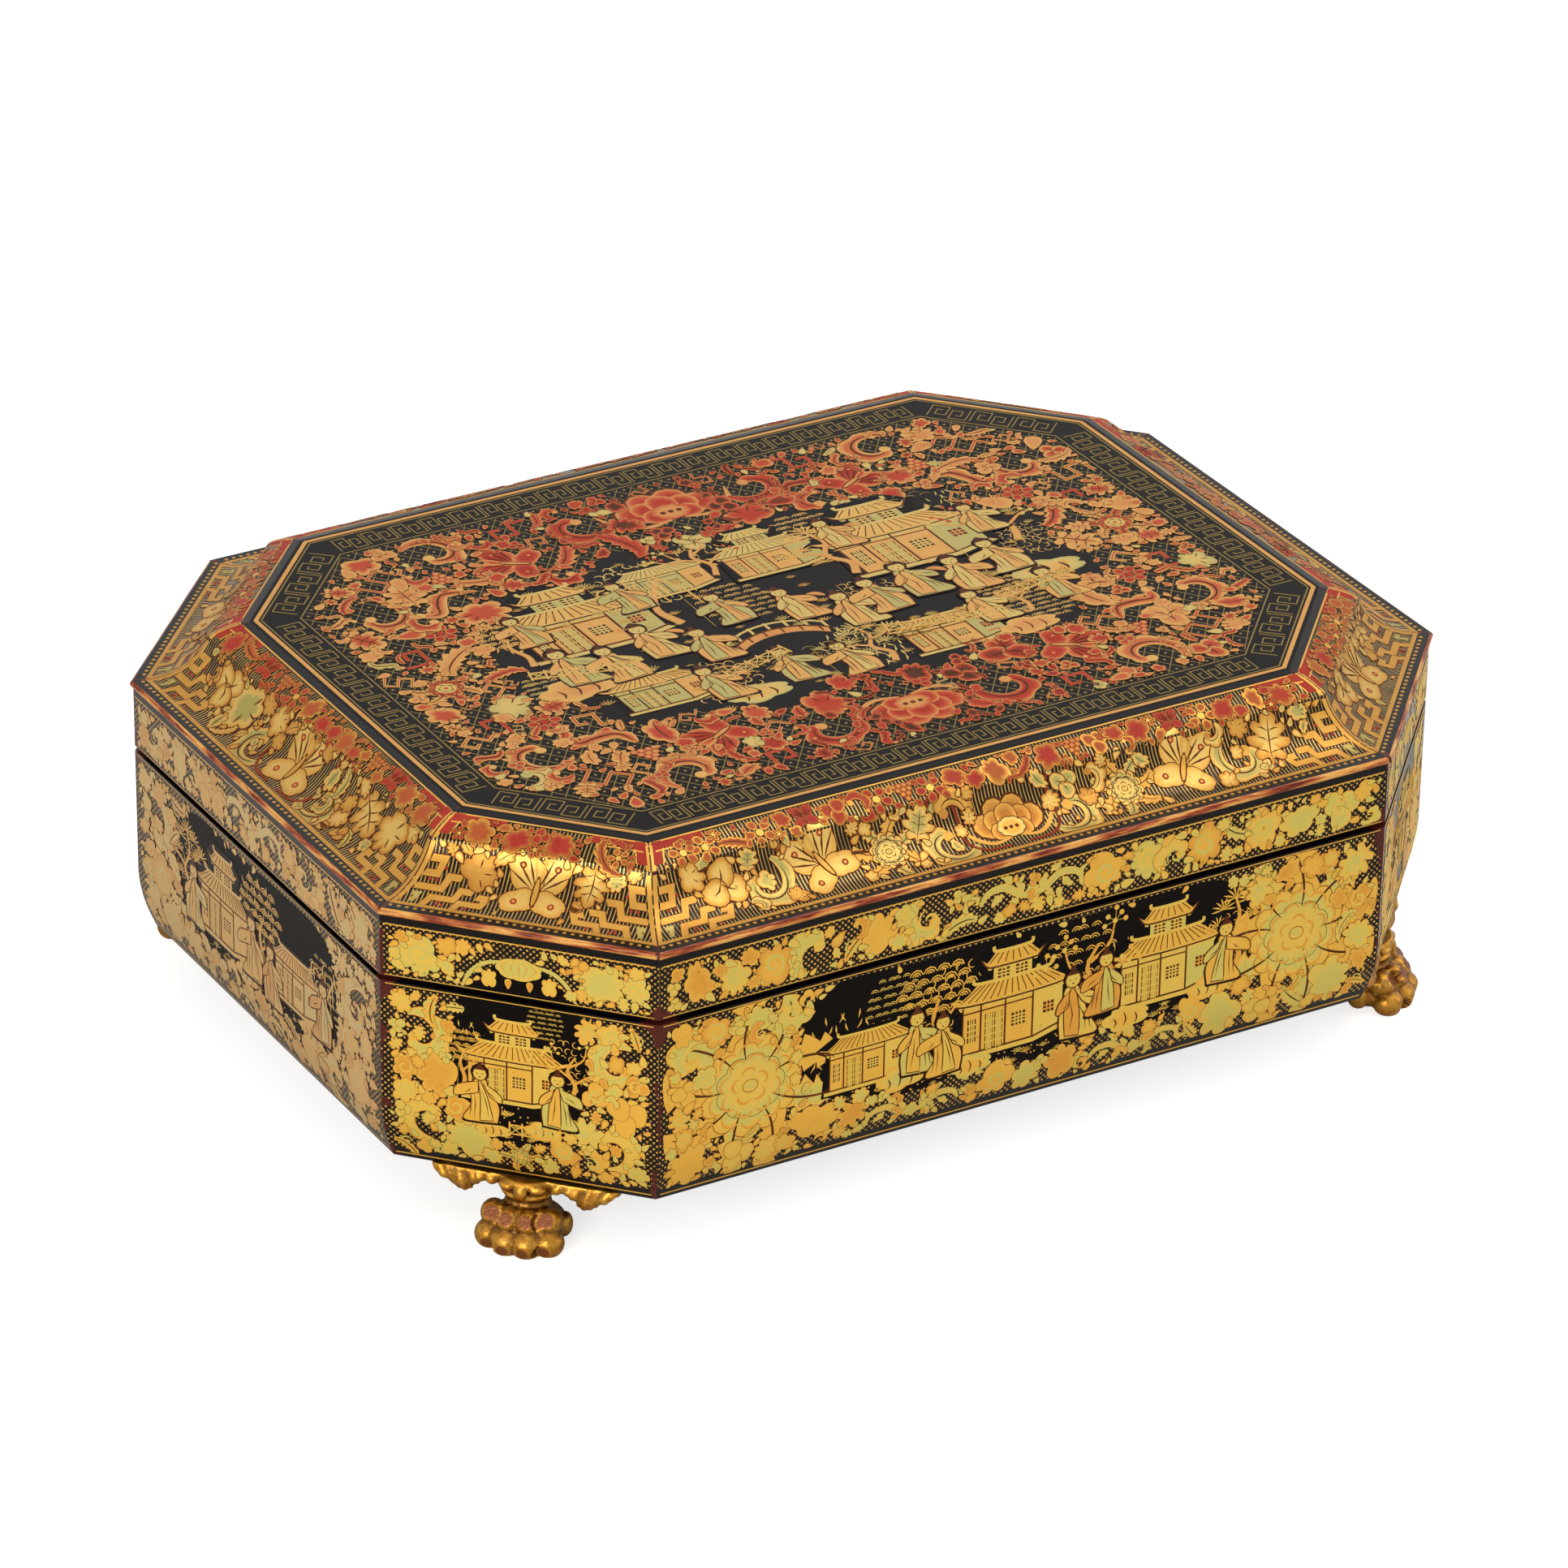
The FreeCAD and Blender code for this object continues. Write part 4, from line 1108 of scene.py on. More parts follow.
def tuft(tone, count=7, spread=150, reach=1.0, width=0.07):
    """Short blades that fan out of a point."""
    made = []
    for i in range(count):
        turn = math.radians(90 - spread / 2 + spread * i / (count - 1))
        blade = [(0, 0), (reach * 0.6 * math.cos(turn), reach * 0.62 * math.sin(turn)),
                 (reach * math.cos(turn), reach * math.sin(turn) * 0.9)]
        made.append(stroke(blade, width, tone, LIFT_LEAF))
    return made


def trunk(points, width, tone=ORANGE):
    path = curve(points, 4)
    swell = np.linspace(width, width * 0.35, len(path)) / 2
    return [ribbon(path, swell, swell, tone, tone + 0.06, LIFT_LEAF)]


def pine(tone=GOLD):
    """A crooked trunk with flat fans of needles, two units high."""
    made = trunk([(0, 0), (0.12, 0.4), (-0.12, 0.8), (0.1, 1.25), (0.0, 1.7)], 0.16)
    made += trunk([(-0.08, 0.8), (-0.4, 1.0), (-0.65, 1.0)], 0.09)
    made += trunk([(0.08, 1.1), (0.4, 1.2), (0.62, 1.4)], 0.08)
    for x, y, size in ((0, 1.7, 0.34), (-0.3, 1.5, 0.3), (0.3, 1.6, 0.3), (-0.68, 1.0, 0.3),
                       (-0.42, 1.14, 0.26),
                       (0.66, 1.38, 0.3), (0.42, 1.24, 0.24), (0.3, 0.9, 0.24), (-0.3, 0.62, 0.22)):
        made += moved(tuft(tone, 8, 190, 1.0, 0.13), x, y, size)
    return made


def willow(tone=PALE):
    """A leaning trunk with long hanging twigs."""
    made = trunk([(0, 0), (-0.12, 0.5), (0.1, 1.0), (0.35, 1.4)], 0.15)
    made += trunk([(0.05, 0.85), (-0.3, 1.25), (-0.55, 1.35)], 0.08)
    for i in range(15):
        x = -0.75 + 0.1 * i
        high = 1.35 + 0.25 * math.sin(i * 1.3) - 0.25 * (x - 0.1) ** 2
        fall = 0.5 + 0.2 * math.sin(i * 2.1)
        twig = curve([(x * 0.75 + 0.05, high), (x, high - 0.1), (x + 0.04, high - fall)], 3)
        made.append(stroke(twig, 0.035, tone, LIFT_LEAF, 0.5))
    return made


def blossom_tree(tone=PALE, flower=CORAL):
    """Bare forked twigs dotted with blossom."""
    made = trunk([(0, 0), (0.15, 0.45), (-0.05, 0.9), (0.15, 1.3)], 0.14)
    for points in (((0, 0.7), (-0.35, 0.95), (-0.5, 1.35)), ((0.1, 0.5), (0.5, 0.8), (0.75, 0.85)),
                   ((0.0, 1.0), (0.35, 1.25), (0.45, 1.65)), ((-0.2, 0.85), (-0.6, 0.9), (-0.85, 1.1))):
        made += trunk(points, 0.07)
        end = np.array(points[-1])
        for dx, dy in ((0, 0), (0.12, 0.13), (-0.14, 0.1), (0.02, 0.24), (0.2, 0.0), (-0.2, -0.06)):
            made.append(stroke([end, end + (dx, dy)], 0.03, tone, LIFT_LEAF))
            made.append(disc(end[0] + dx, end[1] + dy, 0.05, flower if dx > 0 else tone, LIFT_OVER, 6))
    return made


def leafy_tree(tone=GOLD):
    """A round-headed tree whose foliage is drawn as overlapping scales."""
    made = trunk([(0, 0), (0.08, 0.4), (-0.05, 0.85), (0.05, 1.2)], 0.15)
    made += trunk([(0.0, 0.6), (0.3, 0.9), (0.45, 1.15)], 0.07)
    for row in range(5):
        for i in range(6 - abs(row - 2)):
            x = (i - (5 - abs(row - 2)) / 2) * 0.27
            y = 0.95 + row * 0.2
            for radius in (0.13, 0.08, 0.035):
                made.append(stroke(arc(x, y, radius, 10, 170, 5), 0.028, tone, LIFT_LEAF, 0.4))
    return made


def thicket(tone=GOLD, kind=0, rows=7):
    """A patch of background leaves, in short slanting strokes, in scales or in twisted twigs."""
    made = []
    for row in range(rows):
        y = 2 * (row + 0.5) / rows - 1
        reach = math.sqrt(1 - y * y)
        count = max(2, round(reach * rows))
        for i in range(count):
            x = reach * (2 * (i + 0.5) / count - 1) + 0.04 * math.sin(5 * row + 3 * i)
            lean = 0.1 * math.sin(2.3 * i + row)
            turn = 67 * i + 41 * row
            for path, width, taper in (
                (([(x, y), (x + lean, y + 0.12), (x + 1.4 * lean, y + 0.24)], 0.05, 0.9),),
                ((arc(x, y, 0.13, 15, 165, 6), 0.03, 0.4), (arc(x, y, 0.07, 20, 160, 5), 0.026, 0.4)),
                ((arc(x, y, 0.11, turn, turn + 210, 8), 0.032, 0.6),),
            )[kind]:
                made.append(stroke(path, width, tone, LIFT_RULE, taper))
    return made


def rock(tone=GOLD, shade=ORANGE):
    outline = shaped(lobed(5, 0.22), 1.0, 0.5, 0.2, shift=(0, 0.3))
    made = [blob(outline, tone, shade, share=0.4, middle=(0, 0.3))]
    for x, reach in ((-0.5, 0.3), (-0.1, 0.45), (0.35, 0.35)):
        crack = curve([(x, 0.0), (x + 0.08, reach * 0.6), (x - 0.02, reach + 0.1)], 3)
        made.append(stroke(crack, 0.06, DARK))
    return made


def ripples():
    """Three rows of small waves on the water."""
    arcs = [arc((i - 1.5 + 0.5 * (row % 2)) * 0.6, row * 0.22, 0.24, 30, 150, 5)
            for row in range(3) for i in range(4 - row % 2)]
    return strokes(arcs, 0.035, DULL, LIFT_GROUND + 0.02, 0.4)


# %% Figures


def figure(robe=GREEN, sash=ORANGE, pose=0):
    """A robed figure about two units high, with a plain round face."""
    lean = (0.0, 0.12, -0.1)[pose % 3]
    body = curve([(-0.42, 0.04), (-0.46, 0.6), (-0.26 + lean, 1.15), (-0.16 + lean, 1.46),
                  (0.14 + lean, 1.46), (0.3 + lean, 1.1), (0.4, 0.55), (0.66, 0.04), (0.1, 0.0)], 4)
    middle = body.mean(axis=0)
    made = [plate(middle + (body - middle) * 1.1, BLACK, LIFT_BACK),
            disc(0.02 + lean, 1.7, 0.3, BLACK, LIFT_BACK, 10)]
    fold = curve([(-0.28, 0.1), (-0.2 + lean, 0.9), (0.04 + lean, 1.42), (0.1, 0.8), (0.12, 0.05)], 4)
    reach = (0.7, 0.85, 0.55)[pose % 3]
    sleeve = curve([(0.08 + lean, 1.38), (reach, 1.16), (reach + 0.1, 0.82), (reach - 0.16, 0.86),
                    (0.2, 1.0)], 3)
    other = curve([(-0.1 + lean, 1.36), (-0.5, 1.0), (-0.52, 0.74), (-0.2, 0.92)], 3)
    for outline, tone, level in ((body, robe, LIFT_LEAF), (fold, sash, LIFT_OVER), (other, sash, LIFT_OVER),
                                 (sleeve, robe, LIFT_OVER)):
        made.append(plate(widened(outline, 0.035), DARK, level))
        made.append(plate(outline, tone, level))
    head = 0.02 + lean
    made += [disc(head, 1.66, 0.25, DARK, LIFT_OVER, 10), disc(head, 1.65, 0.21, PALE, LIFT_OVER, 10),
             plate(arc(head, 1.7, 0.22, 25, 155, 8), DARK, LIFT_LINE),
             disc(head, 1.97, 0.09, DARK, LIFT_LINE, 7)]
    for x, y, radius in ((-0.06, 1.66, 0.022), (0.1, 1.66, 0.022), (0.02, 1.55, 0.03)):
        made.append(disc(x + lean, y, radius, DARK, LIFT_LINE, 5))
    for x, y, dx, dy in ((-0.05, 1.1, -0.1, -0.9), (0.18, 0.95, 0.14, -0.8), (0.32, 0.7, 0.14, -0.55),
                         (0.3, 1.12, 0.3, -0.18), (-0.16, 1.1, -0.2, -0.24)):
        made.append(stroke([(x + lean, y), (x + dx / 2 + 0.03, y + dy / 2), (x + dx, y + dy)], 0.035, DARK))
    if pose % 3 == 1:
        made.append(stroke([(0.86, 0.1), (0.82, 1.9)], 0.045, PALE))
    if pose % 3 == 2:
        made.append(plate(arc(0.66, 0.98, 0.3, -10, 120, 8), ORANGE, LIFT_LINE))
    return made


print("scene motifs ready")

# %% [markdown]
# ## Gold leaf and powder
# The gold is leaf and powder pressed into tacky lacquer, in more than one alloy: reddish, yellow and
# a greenish gold with more silver. It is thin, so it isn't a mirror: it scatters light like a
# metallic paint, warm and half matt, and it is rubbed through here and there to brown. The material
# reads the tone that the drawing stored in the mesh and turns it into one of these colours. Only the
# gold tones are metallic; red, brown and black are lacquer. The gold is powder bound in that same
# lacquer and not a solid sheet, so it keeps the lacquer's low index instead of a metal's.

# %% Gilt material


def gilt(name, shades, wear=0.5, metal=0.5, painted_shade_heights=None, index=INDEX_PLAIN):
    """Gold, red and brown on lacquer by the tone of the mesh, rubbed through by the wear. The shades
    are the colours of red, coral, orange, gold, pale and green. A painted shade darkens the colour
    up to a height, most towards the bottom."""
    material, tree = new_material(name)
    place = in_millimetres(tree)
    tone = add(tree, "Attribute", {}, attribute_name="tone").outputs["Fac"]
    drift = add(tree, "TexNoise", {"Vector": place, "Scale": 0.14, "Detail": 3.0})
    shift = add(tree, "MapRange", {0: drift, 1: 0.25, 2: 0.75, 3: -0.035, 4: 0.035})
    shade = add(tree, "Math", {0: tone, 1: shift}, operation="ADD")
    stops = [(0.0, LACQUER), (0.05, LACQUER), (0.07, DULL_LINE), (0.13, DULL_LINE), (0.17, ENGRAVED)]
    stops += zip((DARK, RED, CORAL, ORANGE, GOLD, PALE, GREEN), (ENGRAVED, *shades))
    colour = add(tree, "ValToRGB", {0: shade}, stops)
    # Painted shade: the colour is mixed towards brown below the given heights, most at the bottom.
    if painted_shade_heights:
        height = add(tree, "SeparateXYZ", {0: place}).outputs[2]
        painted_shade = add(tree, "MapRange", {0: height, 1: painted_shade_heights[0], 2: painted_shade_heights[1], 3: 0.3, 4: 0.0})
        colour = add(tree, "Mix", {0: painted_shade, 6: colour, 7: "#7a4310"}, data_type="RGBA")
    speck = add(tree, "TexNoise", {"Vector": place, "Scale": 0.45, "Detail": 6.0, "Roughness": 0.7})
    bare = add(tree, "MapRange", {0: speck, 1: 0.64, 2: 0.7, 3: 0.0, 4: wear})
    colour = add(tree, "Mix", {0: bare, 6: colour, 7: "#5c3416"}, data_type="RGBA")
    grain = add(tree, "TexNoise", {"Vector": place, "Scale": 1.6, "Detail": 2.0})
    shader = add(tree, "BsdfPrincipled", {
        "Base Color": colour,
        "Metallic": add(tree, "MapRange", {0: tone, 1: 0.46, 2: 0.6, 3: 0.0, 4: metal}),
        "Roughness": add(tree, "MapRange", {0: speck, 1: 0.3, 2: 0.7, 3: 0.34, 4: 0.5}),
        "IOR": index,
        "Normal": add(tree, "Bump", {"Strength": 0.25, "Distance": 0.0001, "Height": grain}),
    })
    add(tree, "OutputMaterial", {"Surface": shader})
    return material


DULL_LINE = "#87713f"
ENGRAVED = "#4a2812"
SIDE_SHADES = ("#9c4a24", "#c07433", "#d89a3e", "#e4b049", "#e0bb54", "#cdbd60")
# The gold of the ends is painted paler and greyer, a painted reflection of the pale room.
END_SHADES_PAINTED_SHEEN = ("#94502f", "#b57c50", "#c4965d", "#cda467", "#cfaa70", "#c6ae78")
OGEE_SHADES = ("#a0342a", "#a3532f", "#ad7133", "#cf9c48", "#dcb866", "#aba25c")
TOP_SHADES = ("#a23322", "#af4d31", "#c4884c", "#cda158", "#c4a962", "#ab9f60")
gilt_side = gilt("gold_leaf_sides", SIDE_SHADES, 0.6, 0.45)
gilt_end_painted_sheen = gilt("gold_leaf_ends_painted_sheen", END_SHADES_PAINTED_SHEEN, 0.8, 0.35, index=1.3)
# The ogee's gold gets a painted shade in the lower hollow, fading out just above the arris.
gilt_ogee = gilt("gold_leaf_ogee", OGEE_SHADES, 0.6, 0.65, (margin_height + 1, arris_height + 2))
gilt_top = gilt("gold_and_red_of_the_top", TOP_SHADES, 0.35, 0.3)
print("gilt materials ready")

# %% [markdown]
# ## Filling a field with leaves
# Between the large motifs the painter fills every gap with smaller leaves, so that hardly any ground
# is left. The same is done here: places are drawn at random, each leaf grows until it meets the edge
# of the field or a neighbour, and it stays if it is large enough. The draw is seeded, so it always
# comes out the same.

# %% Filling tool


def fill(face, room, box, sizes, draw, taken, seed, tries=900, swell=1.12):
    """Pack motifs into a field. Room gives the space left to the edge of the field at points,
    sizes are (least, most) radii, and draw places one motif, larger than its place by the swell,
    so that neighbours touch."""
    chance = np.random.default_rng(seed)
    placed = 0
    for least, most in sizes:
        points = chance.uniform(box[:2], box[2:], (tries, 2))
        spaces = room(points[:, 0], points[:, 1]) / swell
        for point, space in zip(points, spaces):
            if space < least:
                continue
            if taken:
                near = np.array(taken)
                gaps = np.hypot(near[:, 0] - point[0], near[:, 1] - point[1]) - near[:, 2]
                space = min(space, np.min(gaps))
            if space >= least:
                radius = min(space, most)
                taken.append((point[0], point[1], radius))
                draw(face, point[0], point[1], radius * swell, chance)
                placed += 1
    return placed


def outside(outline, u, v):
    """Distance of points to a closed outline, negative inside it."""
    points = np.column_stack([np.ravel(u), np.ravel(v)])
    reach = np.hypot(points[:, None, 0] - outline[None, :, 0], points[:, None, 1] - outline[None, :, 1])
    a, b = outline, np.roll(outline, -1, axis=0)
    crosses = (a[None, :, 1] > points[:, None, 1]) != (b[None, :, 1] > points[:, None, 1])
    rise = np.where(b[:, 1] == a[:, 1], 1e-9, b[:, 1] - a[:, 1])
    where = a[None, :, 0] + (points[:, None, 1] - a[None, :, 1]) * ((b[:, 0] - a[:, 0]) / rise)[None, :]
    inside = np.sum(crosses & (points[:, None, 0] < where), axis=1) % 2 == 1
    return np.where(inside, -1, 1) * reach.min(axis=1)


ROUND_ROOM = ((0, 0, 0.9),)


def put_both(face, taken, motif, u, v, size, turn=0.0, radii=ROUND_ROOM, rim=0.28, both=True):
    """Put a motif and its mirror image on a face, and keep their room from the filling."""
    for sign in (1, -1) if both else (1,):
        face.put(motif, sign * u, v, size, turn * sign, sign < 0, rim)
        for x, y, radius in radii:
            dx, dy = turned(size, turn, False) @ (x, y)
            taken.append((sign * (u + dx), v + dy, radius * size))


# %% [markdown]
# ## The flat top
# The top panel is framed by a gold line and a band of key fret on brownish black. Inside lies a wide
# border of leaves in orange gold with red cores, with butterflies, lotus flowers and angular
# strapwork, over a fine net of gold lines. Its inner edge is irregular and encloses a black garden
# scene. The border is mirrored left and right, as on the real box, and the scene isn't.

# %% Frame lines and key fret
FRAME_LINE = (panel_inset + 1.0, panel_inset + 2.4)
FRET_BAND = (panel_inset + 4.0, panel_inset + 14.2)
FIELD_INSET = panel_inset + 15.6
FRET_LENGTH = 10.0


def cut_inset(u, v):
    """Distance in from the line of the cut corners."""
    return ((across - np.abs(u)) * cant_depth + (along - np.abs(v)) * cant_length) / cant


def edge_inset(u, v):
    """How far points of the top lie in from the outline of the lid."""
    return np.minimum(np.minimum(half_length - np.abs(u), half_depth - np.abs(v)), cut_inset(u, v))


def frame_line(face, low, high, tone):
    """A line round the octagon between two insets."""
    for side in SIDES:
        corners = [(-half_at(side, low, False), low), (half_at(side, low), low),
                   (half_at(side, high), high), (-half_at(side, high, False), high)]
        u, inset = np.array(corners).T
        face.mark(on_side(side, u, inset, inset)[:, :2], tone, LIFT_RULE)


def key_fret(face, side, low, high, unit, width, tone):
    """Paired square spirals along one side of the octagon, between two insets."""
    spiral = np.array([(0.05, 0.1), (0.05, 0.9), (0.45, 0.9), (0.45, 0.3), (0.2, 0.3), (0.2, 0.65),
                       (0.33, 0.65)])
    left = -half_at(side, low, False) + 1.2
    right = half_at(side, low) - 1.2
    count = max(1, round((right - left - 2 * (high - low)) / unit))
    start = left + (high - low) * 0.45
    step = (right - left - (high - low) * 0.9) / count
    for i in range(count):
        for path in (spiral, 1 - spiral):
            corners = path * (step, high - low) + (start + i * step, low)
            outline = strap(corners, width, tone)[0][0][0]
            face.mark(on_side(side, outline[:, 0], outline[:, 1], outline[:, 1])[:, :2], tone, LIFT_RULE)


top_frame = Face(top_locator)
frame_line(top_frame, *FRAME_LINE, 0.62)
frame_line(top_frame, FRET_BAND[0] - 0.9, FRET_BAND[0] - 0.45, DULL)
frame_line(top_frame, FRET_BAND[1] + 0.45, FRET_BAND[1] + 0.9, DULL)
for side in SIDES:
    key_fret(top_frame, side, *FRET_BAND, FRET_LENGTH, 0.42, DULL)
lay(top_frame, "gilt_top_frame", "lid", gilt_top, layered=False)

# %% Ground net and black reserve
NET_PITCH = 4.4
NET_SLOPE = math.radians(52)
NET_LINE = 0.3
NET_DOT = 0.55
RESERVE = curve([
    (-100, 0), (-98, 26), (-84, 34), (-78, 50), (-52, 48), (-30, 58), (0, 50), (34, 60), (58, 50), (84, 52),
    (88, 32), (104, 22), (99, -4), (103, -24), (84, -34), (76, -52), (46, -48), (22, -60), (-8, -54),
    (-38, -62), (-60, -50), (-84, -48), (-90, -28), (-104, -18), (-100, 0),
], 4)[:-1]


def net_line(slope, offset):
    """End points of a net line inside the field, or nothing where it misses the field."""
    run = np.array([math.cos(slope), math.sin(slope)])
    start = np.array([-run[1], run[0]]) * offset
    t = np.linspace(-220, 220, 881)
    points = start + run * t[:, None]
    kept = points[edge_inset(points[:, 0], points[:, 1]) > FIELD_INSET]
    return (kept[0], kept[-1]) if len(kept) > 8 else None


net = Face(top_locator)
for slope in (NET_SLOPE, -NET_SLOPE):
    for number in range(-48, 49):
        ends = net_line(slope, number * NET_PITCH)
        if ends is not None:
            net.mark(stroke(ends, NET_LINE, DULL, taper=0)[0][0][0], DULL, 0.012 if slope > 0 else 0.014)
lay(net, "gilt_top_net", "lid", gilt_top, layered=False)

ground = Face(top_locator)
ground.mark(RESERVE, BLACK, LIFT_GROUND)
lay(ground, "black_top_reserve", "lid", lacquer_plain)

# %% Net dots
dots = Face(top_locator)
step_u = NET_PITCH / math.sin(NET_SLOPE) / 2
step_v = NET_PITCH / math.cos(NET_SLOPE) / 2
for i in range(-60, 61):
    for j in range(-40, 41):
        if (i + j) % 2 == 1:
            u, v = i * step_u, j * step_v
            if edge_inset(u, v) > FIELD_INSET + 0.6 and outside(RESERVE, u, v)[0] > 0:
                dots.mark(lobed(1, 0, 6) * NET_DOT + (u, v), DULL, 0.016)
lay(dots, "gilt_top_net_dots", "lid", gilt_top, layered=False)

# %% Border of the top
def top_limit(points):
    """Keep a drawing inside the key fret."""
    for side in SIDES:
        angle = math.radians(SIDES[side][0])
        inwards = np.array([-math.sin(angle), math.cos(angle)])
        reach = (points - SIDES[side][1][:2]) @ inwards - FIELD_INSET
        points = points + (held(reach) - reach)[:, None] * inwards
    return points


border = Face(top_locator, limit=top_limit)
taken = []


def border_tones(u, v):
    """Edge and core tones: redder towards the middle of the long sides."""
    red = math.exp(-(u / 66) ** 2) * min(1.0, abs(v) / 60)
    return 0.67 - 0.14 * red, 0.56 - 0.25 * red


RED_PAIR = (0.56, 0.31)
GOLD_PAIR = (0.67, 0.47)
LONG = ((-0.6, 0, 0.45), (0, 0, 0.5), (0.6, 0, 0.45))
for v, size, turn in ((79, 21, 0), (-80, 19, 180)):
    put_both(border, taken, lotus(*RED_PAIR, heart=CORAL), 0, v, size, turn, ((0, -0.1, 0.85),), 0, False)
for sign in (1, -1):
    for motif, u, v, size, turn, room in (
        (curl(*RED_PAIR, turns=0.75), 32, 80, 11, 200 * sign, ROUND_ROOM),
        (butterfly(*RED_PAIR), 62, 66, 13, 30 * sign, ((0, 0, 0.85),)),
        (fret(CORAL, 1, 0.16, RED), 54, 88, 9, 90 - 90 * sign, LONG),
        (curl(*GOLD_PAIR, turns=0.8), 82, 84, 11, 40 * sign, ROUND_ROOM),
        (fret(ORANGE, 2, 0.14, RED), 108, 74, 9.5, -42 * sign, LONG),
        (curl(*GOLD_PAIR, turns=0.7), 118, 52, 10.5, 120 * sign, ROUND_ROOM),
        (wave_leaf(*GOLD_PAIR), 96, 52, 11, -30 * sign, LONG),
        (berries(CORAL, ORANGE), 88, 68, 6, 90 + 90 * sign, ROUND_ROOM),
        (fret(CORAL, 0, 0.17, RED), 122, 26, 8.5, 90, LONG),
        (blossom(*RED_PAIR), 106, 34, 6, 0, ROUND_ROOM),
    ):
        put_both(border, taken, motif, u, sign * v, size, turn, room, 0)
put_both(border, taken, peony(0.6, 0.4), 122, 0, 9.5, rim=0)


def border_leaf(face, u, v, size, chance):
    edge, core = border_tones(u, v)
    if chance.uniform() < 0.5:
        core -= 0.13
    kind = chance.integers(10) if size > 2.6 else 8
    turn = math.degrees(math.atan2(v, u)) + chance.uniform(-70, 70)
    if chance.uniform() < 0.06:
        edge, core = GREEN, PALE
    motifs = {
        0: lambda: cloud_leaf(edge, core, 5 + chance.integers(3), 1.0, 0.8, 2, chance.integers(3)),
        1: lambda: trefoil(edge, core),
        2: lambda: leaf(edge, core, 7, 0.55, 0.25),
        3: lambda: curl(edge, core, 0.65, 0.46, 4),
        4: lambda: wave_leaf(edge, core),
        5: lambda: moved(acanthus(edge, core, chance.uniform(-1.0, 1.0)), -0.95, 0, 1.9),
        6: lambda: toothed_leaf(edge, core),
        7: lambda: fret(edge, chance.integers(3), 0.17, RED),
        8: lambda: drop(edge, core),
        9: lambda: cloud_leaf(edge, core, 6, 1.0, 0.85, 3),
    }
    face.put(motifs[int(kind)](), u, v, size, turn, flip=chance.uniform() < 0.5, rim=0.22)


def border_room(u, v):
    return np.minimum(edge_inset(u, v) - FIELD_INSET - 0.5, outside(RESERVE, u, v) + 3.0)


SIZES = ((8.4, 11.0), (6.6, 8.4), (5.2, 6.6), (4.0, 5.2), (2.8, 4.0), (1.9, 2.8), (1.2, 1.9), (0.9, 1.2))
number = fill(border, border_room, (-140, -98, 140, 98), SIZES, border_leaf, taken, 11, 1500, 1.3)
taken = [(u, v, 0.74 * radius) for u, v, radius in taken]
number += fill(border, border_room, (-140, -98, 140, 98), SIZES[2:], border_leaf, taken, 12, 1500, 1.4)
# The border is large, so its back and front halves are pieces of their own
layers = stacked(border.shapes)
for name in ("back", "front"):
    part = Face(top_locator)
    part.shapes = [shape for shape in layers if (shape[0][0][0].mean(axis=0)[1] > 0) == (name == "back")]
    lay(part, "gilt_top_border_" + name, "lid", gilt_top, layered=False)
print("leaves packed into the border:", number)

# %% Garden scene of the top
TAN = 0.64
garden = Face(top_locator)
for u, v, size, motif in (
    (-88, 22, 13, thicket(GOLD, 0, 9)), (-34, 34, 15, thicket(PALE, 2, 9)), (-6, 44, 12, thicket(GOLD, 0, 8)),
    (32, 40, 14, thicket(GOLD, 1, 9)), (86, 34, 12, thicket(PALE, 0, 8)), (-46, -36, 14, thicket(GOLD, 2, 9)),
    (8, -38, 15, thicket(PALE, 0, 9)), (70, -36, 13, thicket(GOLD, 1, 9)), (92, 4, 11, thicket(GOLD, 2, 8)),
    (-90, -16, 12, thicket(PALE, 1, 8)), (26, -8, 12, thicket(GOLD, 2, 8)), (-14, 8, 13, thicket(GOLD, 1, 8)),
    (-64, 2, 24, house(TAN, GREEN)), (-26, 24, 15, house(GREEN, TAN, PALE, False)),
    (12, 22, 17, house(TAN, GREEN, PALE)), (56, 6, 25, house(TAN, GREEN)),
    (-64, -42, 16, house(GREEN, TAN, upper=False)), (36, -50, 17, house(TAN, GREEN, upper=False)),
    (-14, -20, 17, bridge()), (-86, -24, 14, rock()), (86, -22, 14, rock(GREEN, GOLD)),
    (-38, -52, 12, rock(GREEN, GOLD)), (60, -52, 11, rock()), (-36, 4, 22, willow(GOLD)), (30, 8, 19, pine()),
    (-91, 0, 16, leafy_tree()), (88, 4, 20, blossom_tree()), (-10, 28, 16, blossom_tree()),
    (10, -50, 15, pine(PALE)), (66, -40, 13, leafy_tree()),
):
    garden.put(motif, u, v, size)
for number, (u, v, size) in enumerate((
    (-82, -18, 13), (-66, -22, 12.5), (-50, -14, 12.5), (-36, -24, 12), (-18, -4, 11.5), (2, -12, 12),
    (16, -24, 12.5), (30, -20, 12.5), (44, -16, 13), (60, -20, 13), (78, -14, 12.5), (-46, -48, 12),
    (-20, -48, 12), (0, -52, 11.5), (54, -42, 12), (82, -38, 11.5), (-42, 18, 11), (38, 26, 11), (84, 14, 11),
    (-82, 12, 11),
)):
    robe, sash = ((GREEN, TAN), (TAN, PALE), (PALE, TAN), (TAN, GREEN))[number % 4]
    garden.put(figure(robe, sash, number), u, v, size, flip=number % 3 == 1)
for u, v, size, turn, posts in ((-96, -8, 5, -14, 7), (-40, -36, 5, 16, 5), (18, -32, 5, -10, 8),
                                (62, -30, 5, 12, 6)):
    garden.put(fence(posts), u, v, size, turn)
for u, v, size in ((-30, -38, 12), (0, -36, 11), (20, -40, 9), (70, 46, 10), (-52, 48, 9)):
    garden.put(ripples(), u, v, size)
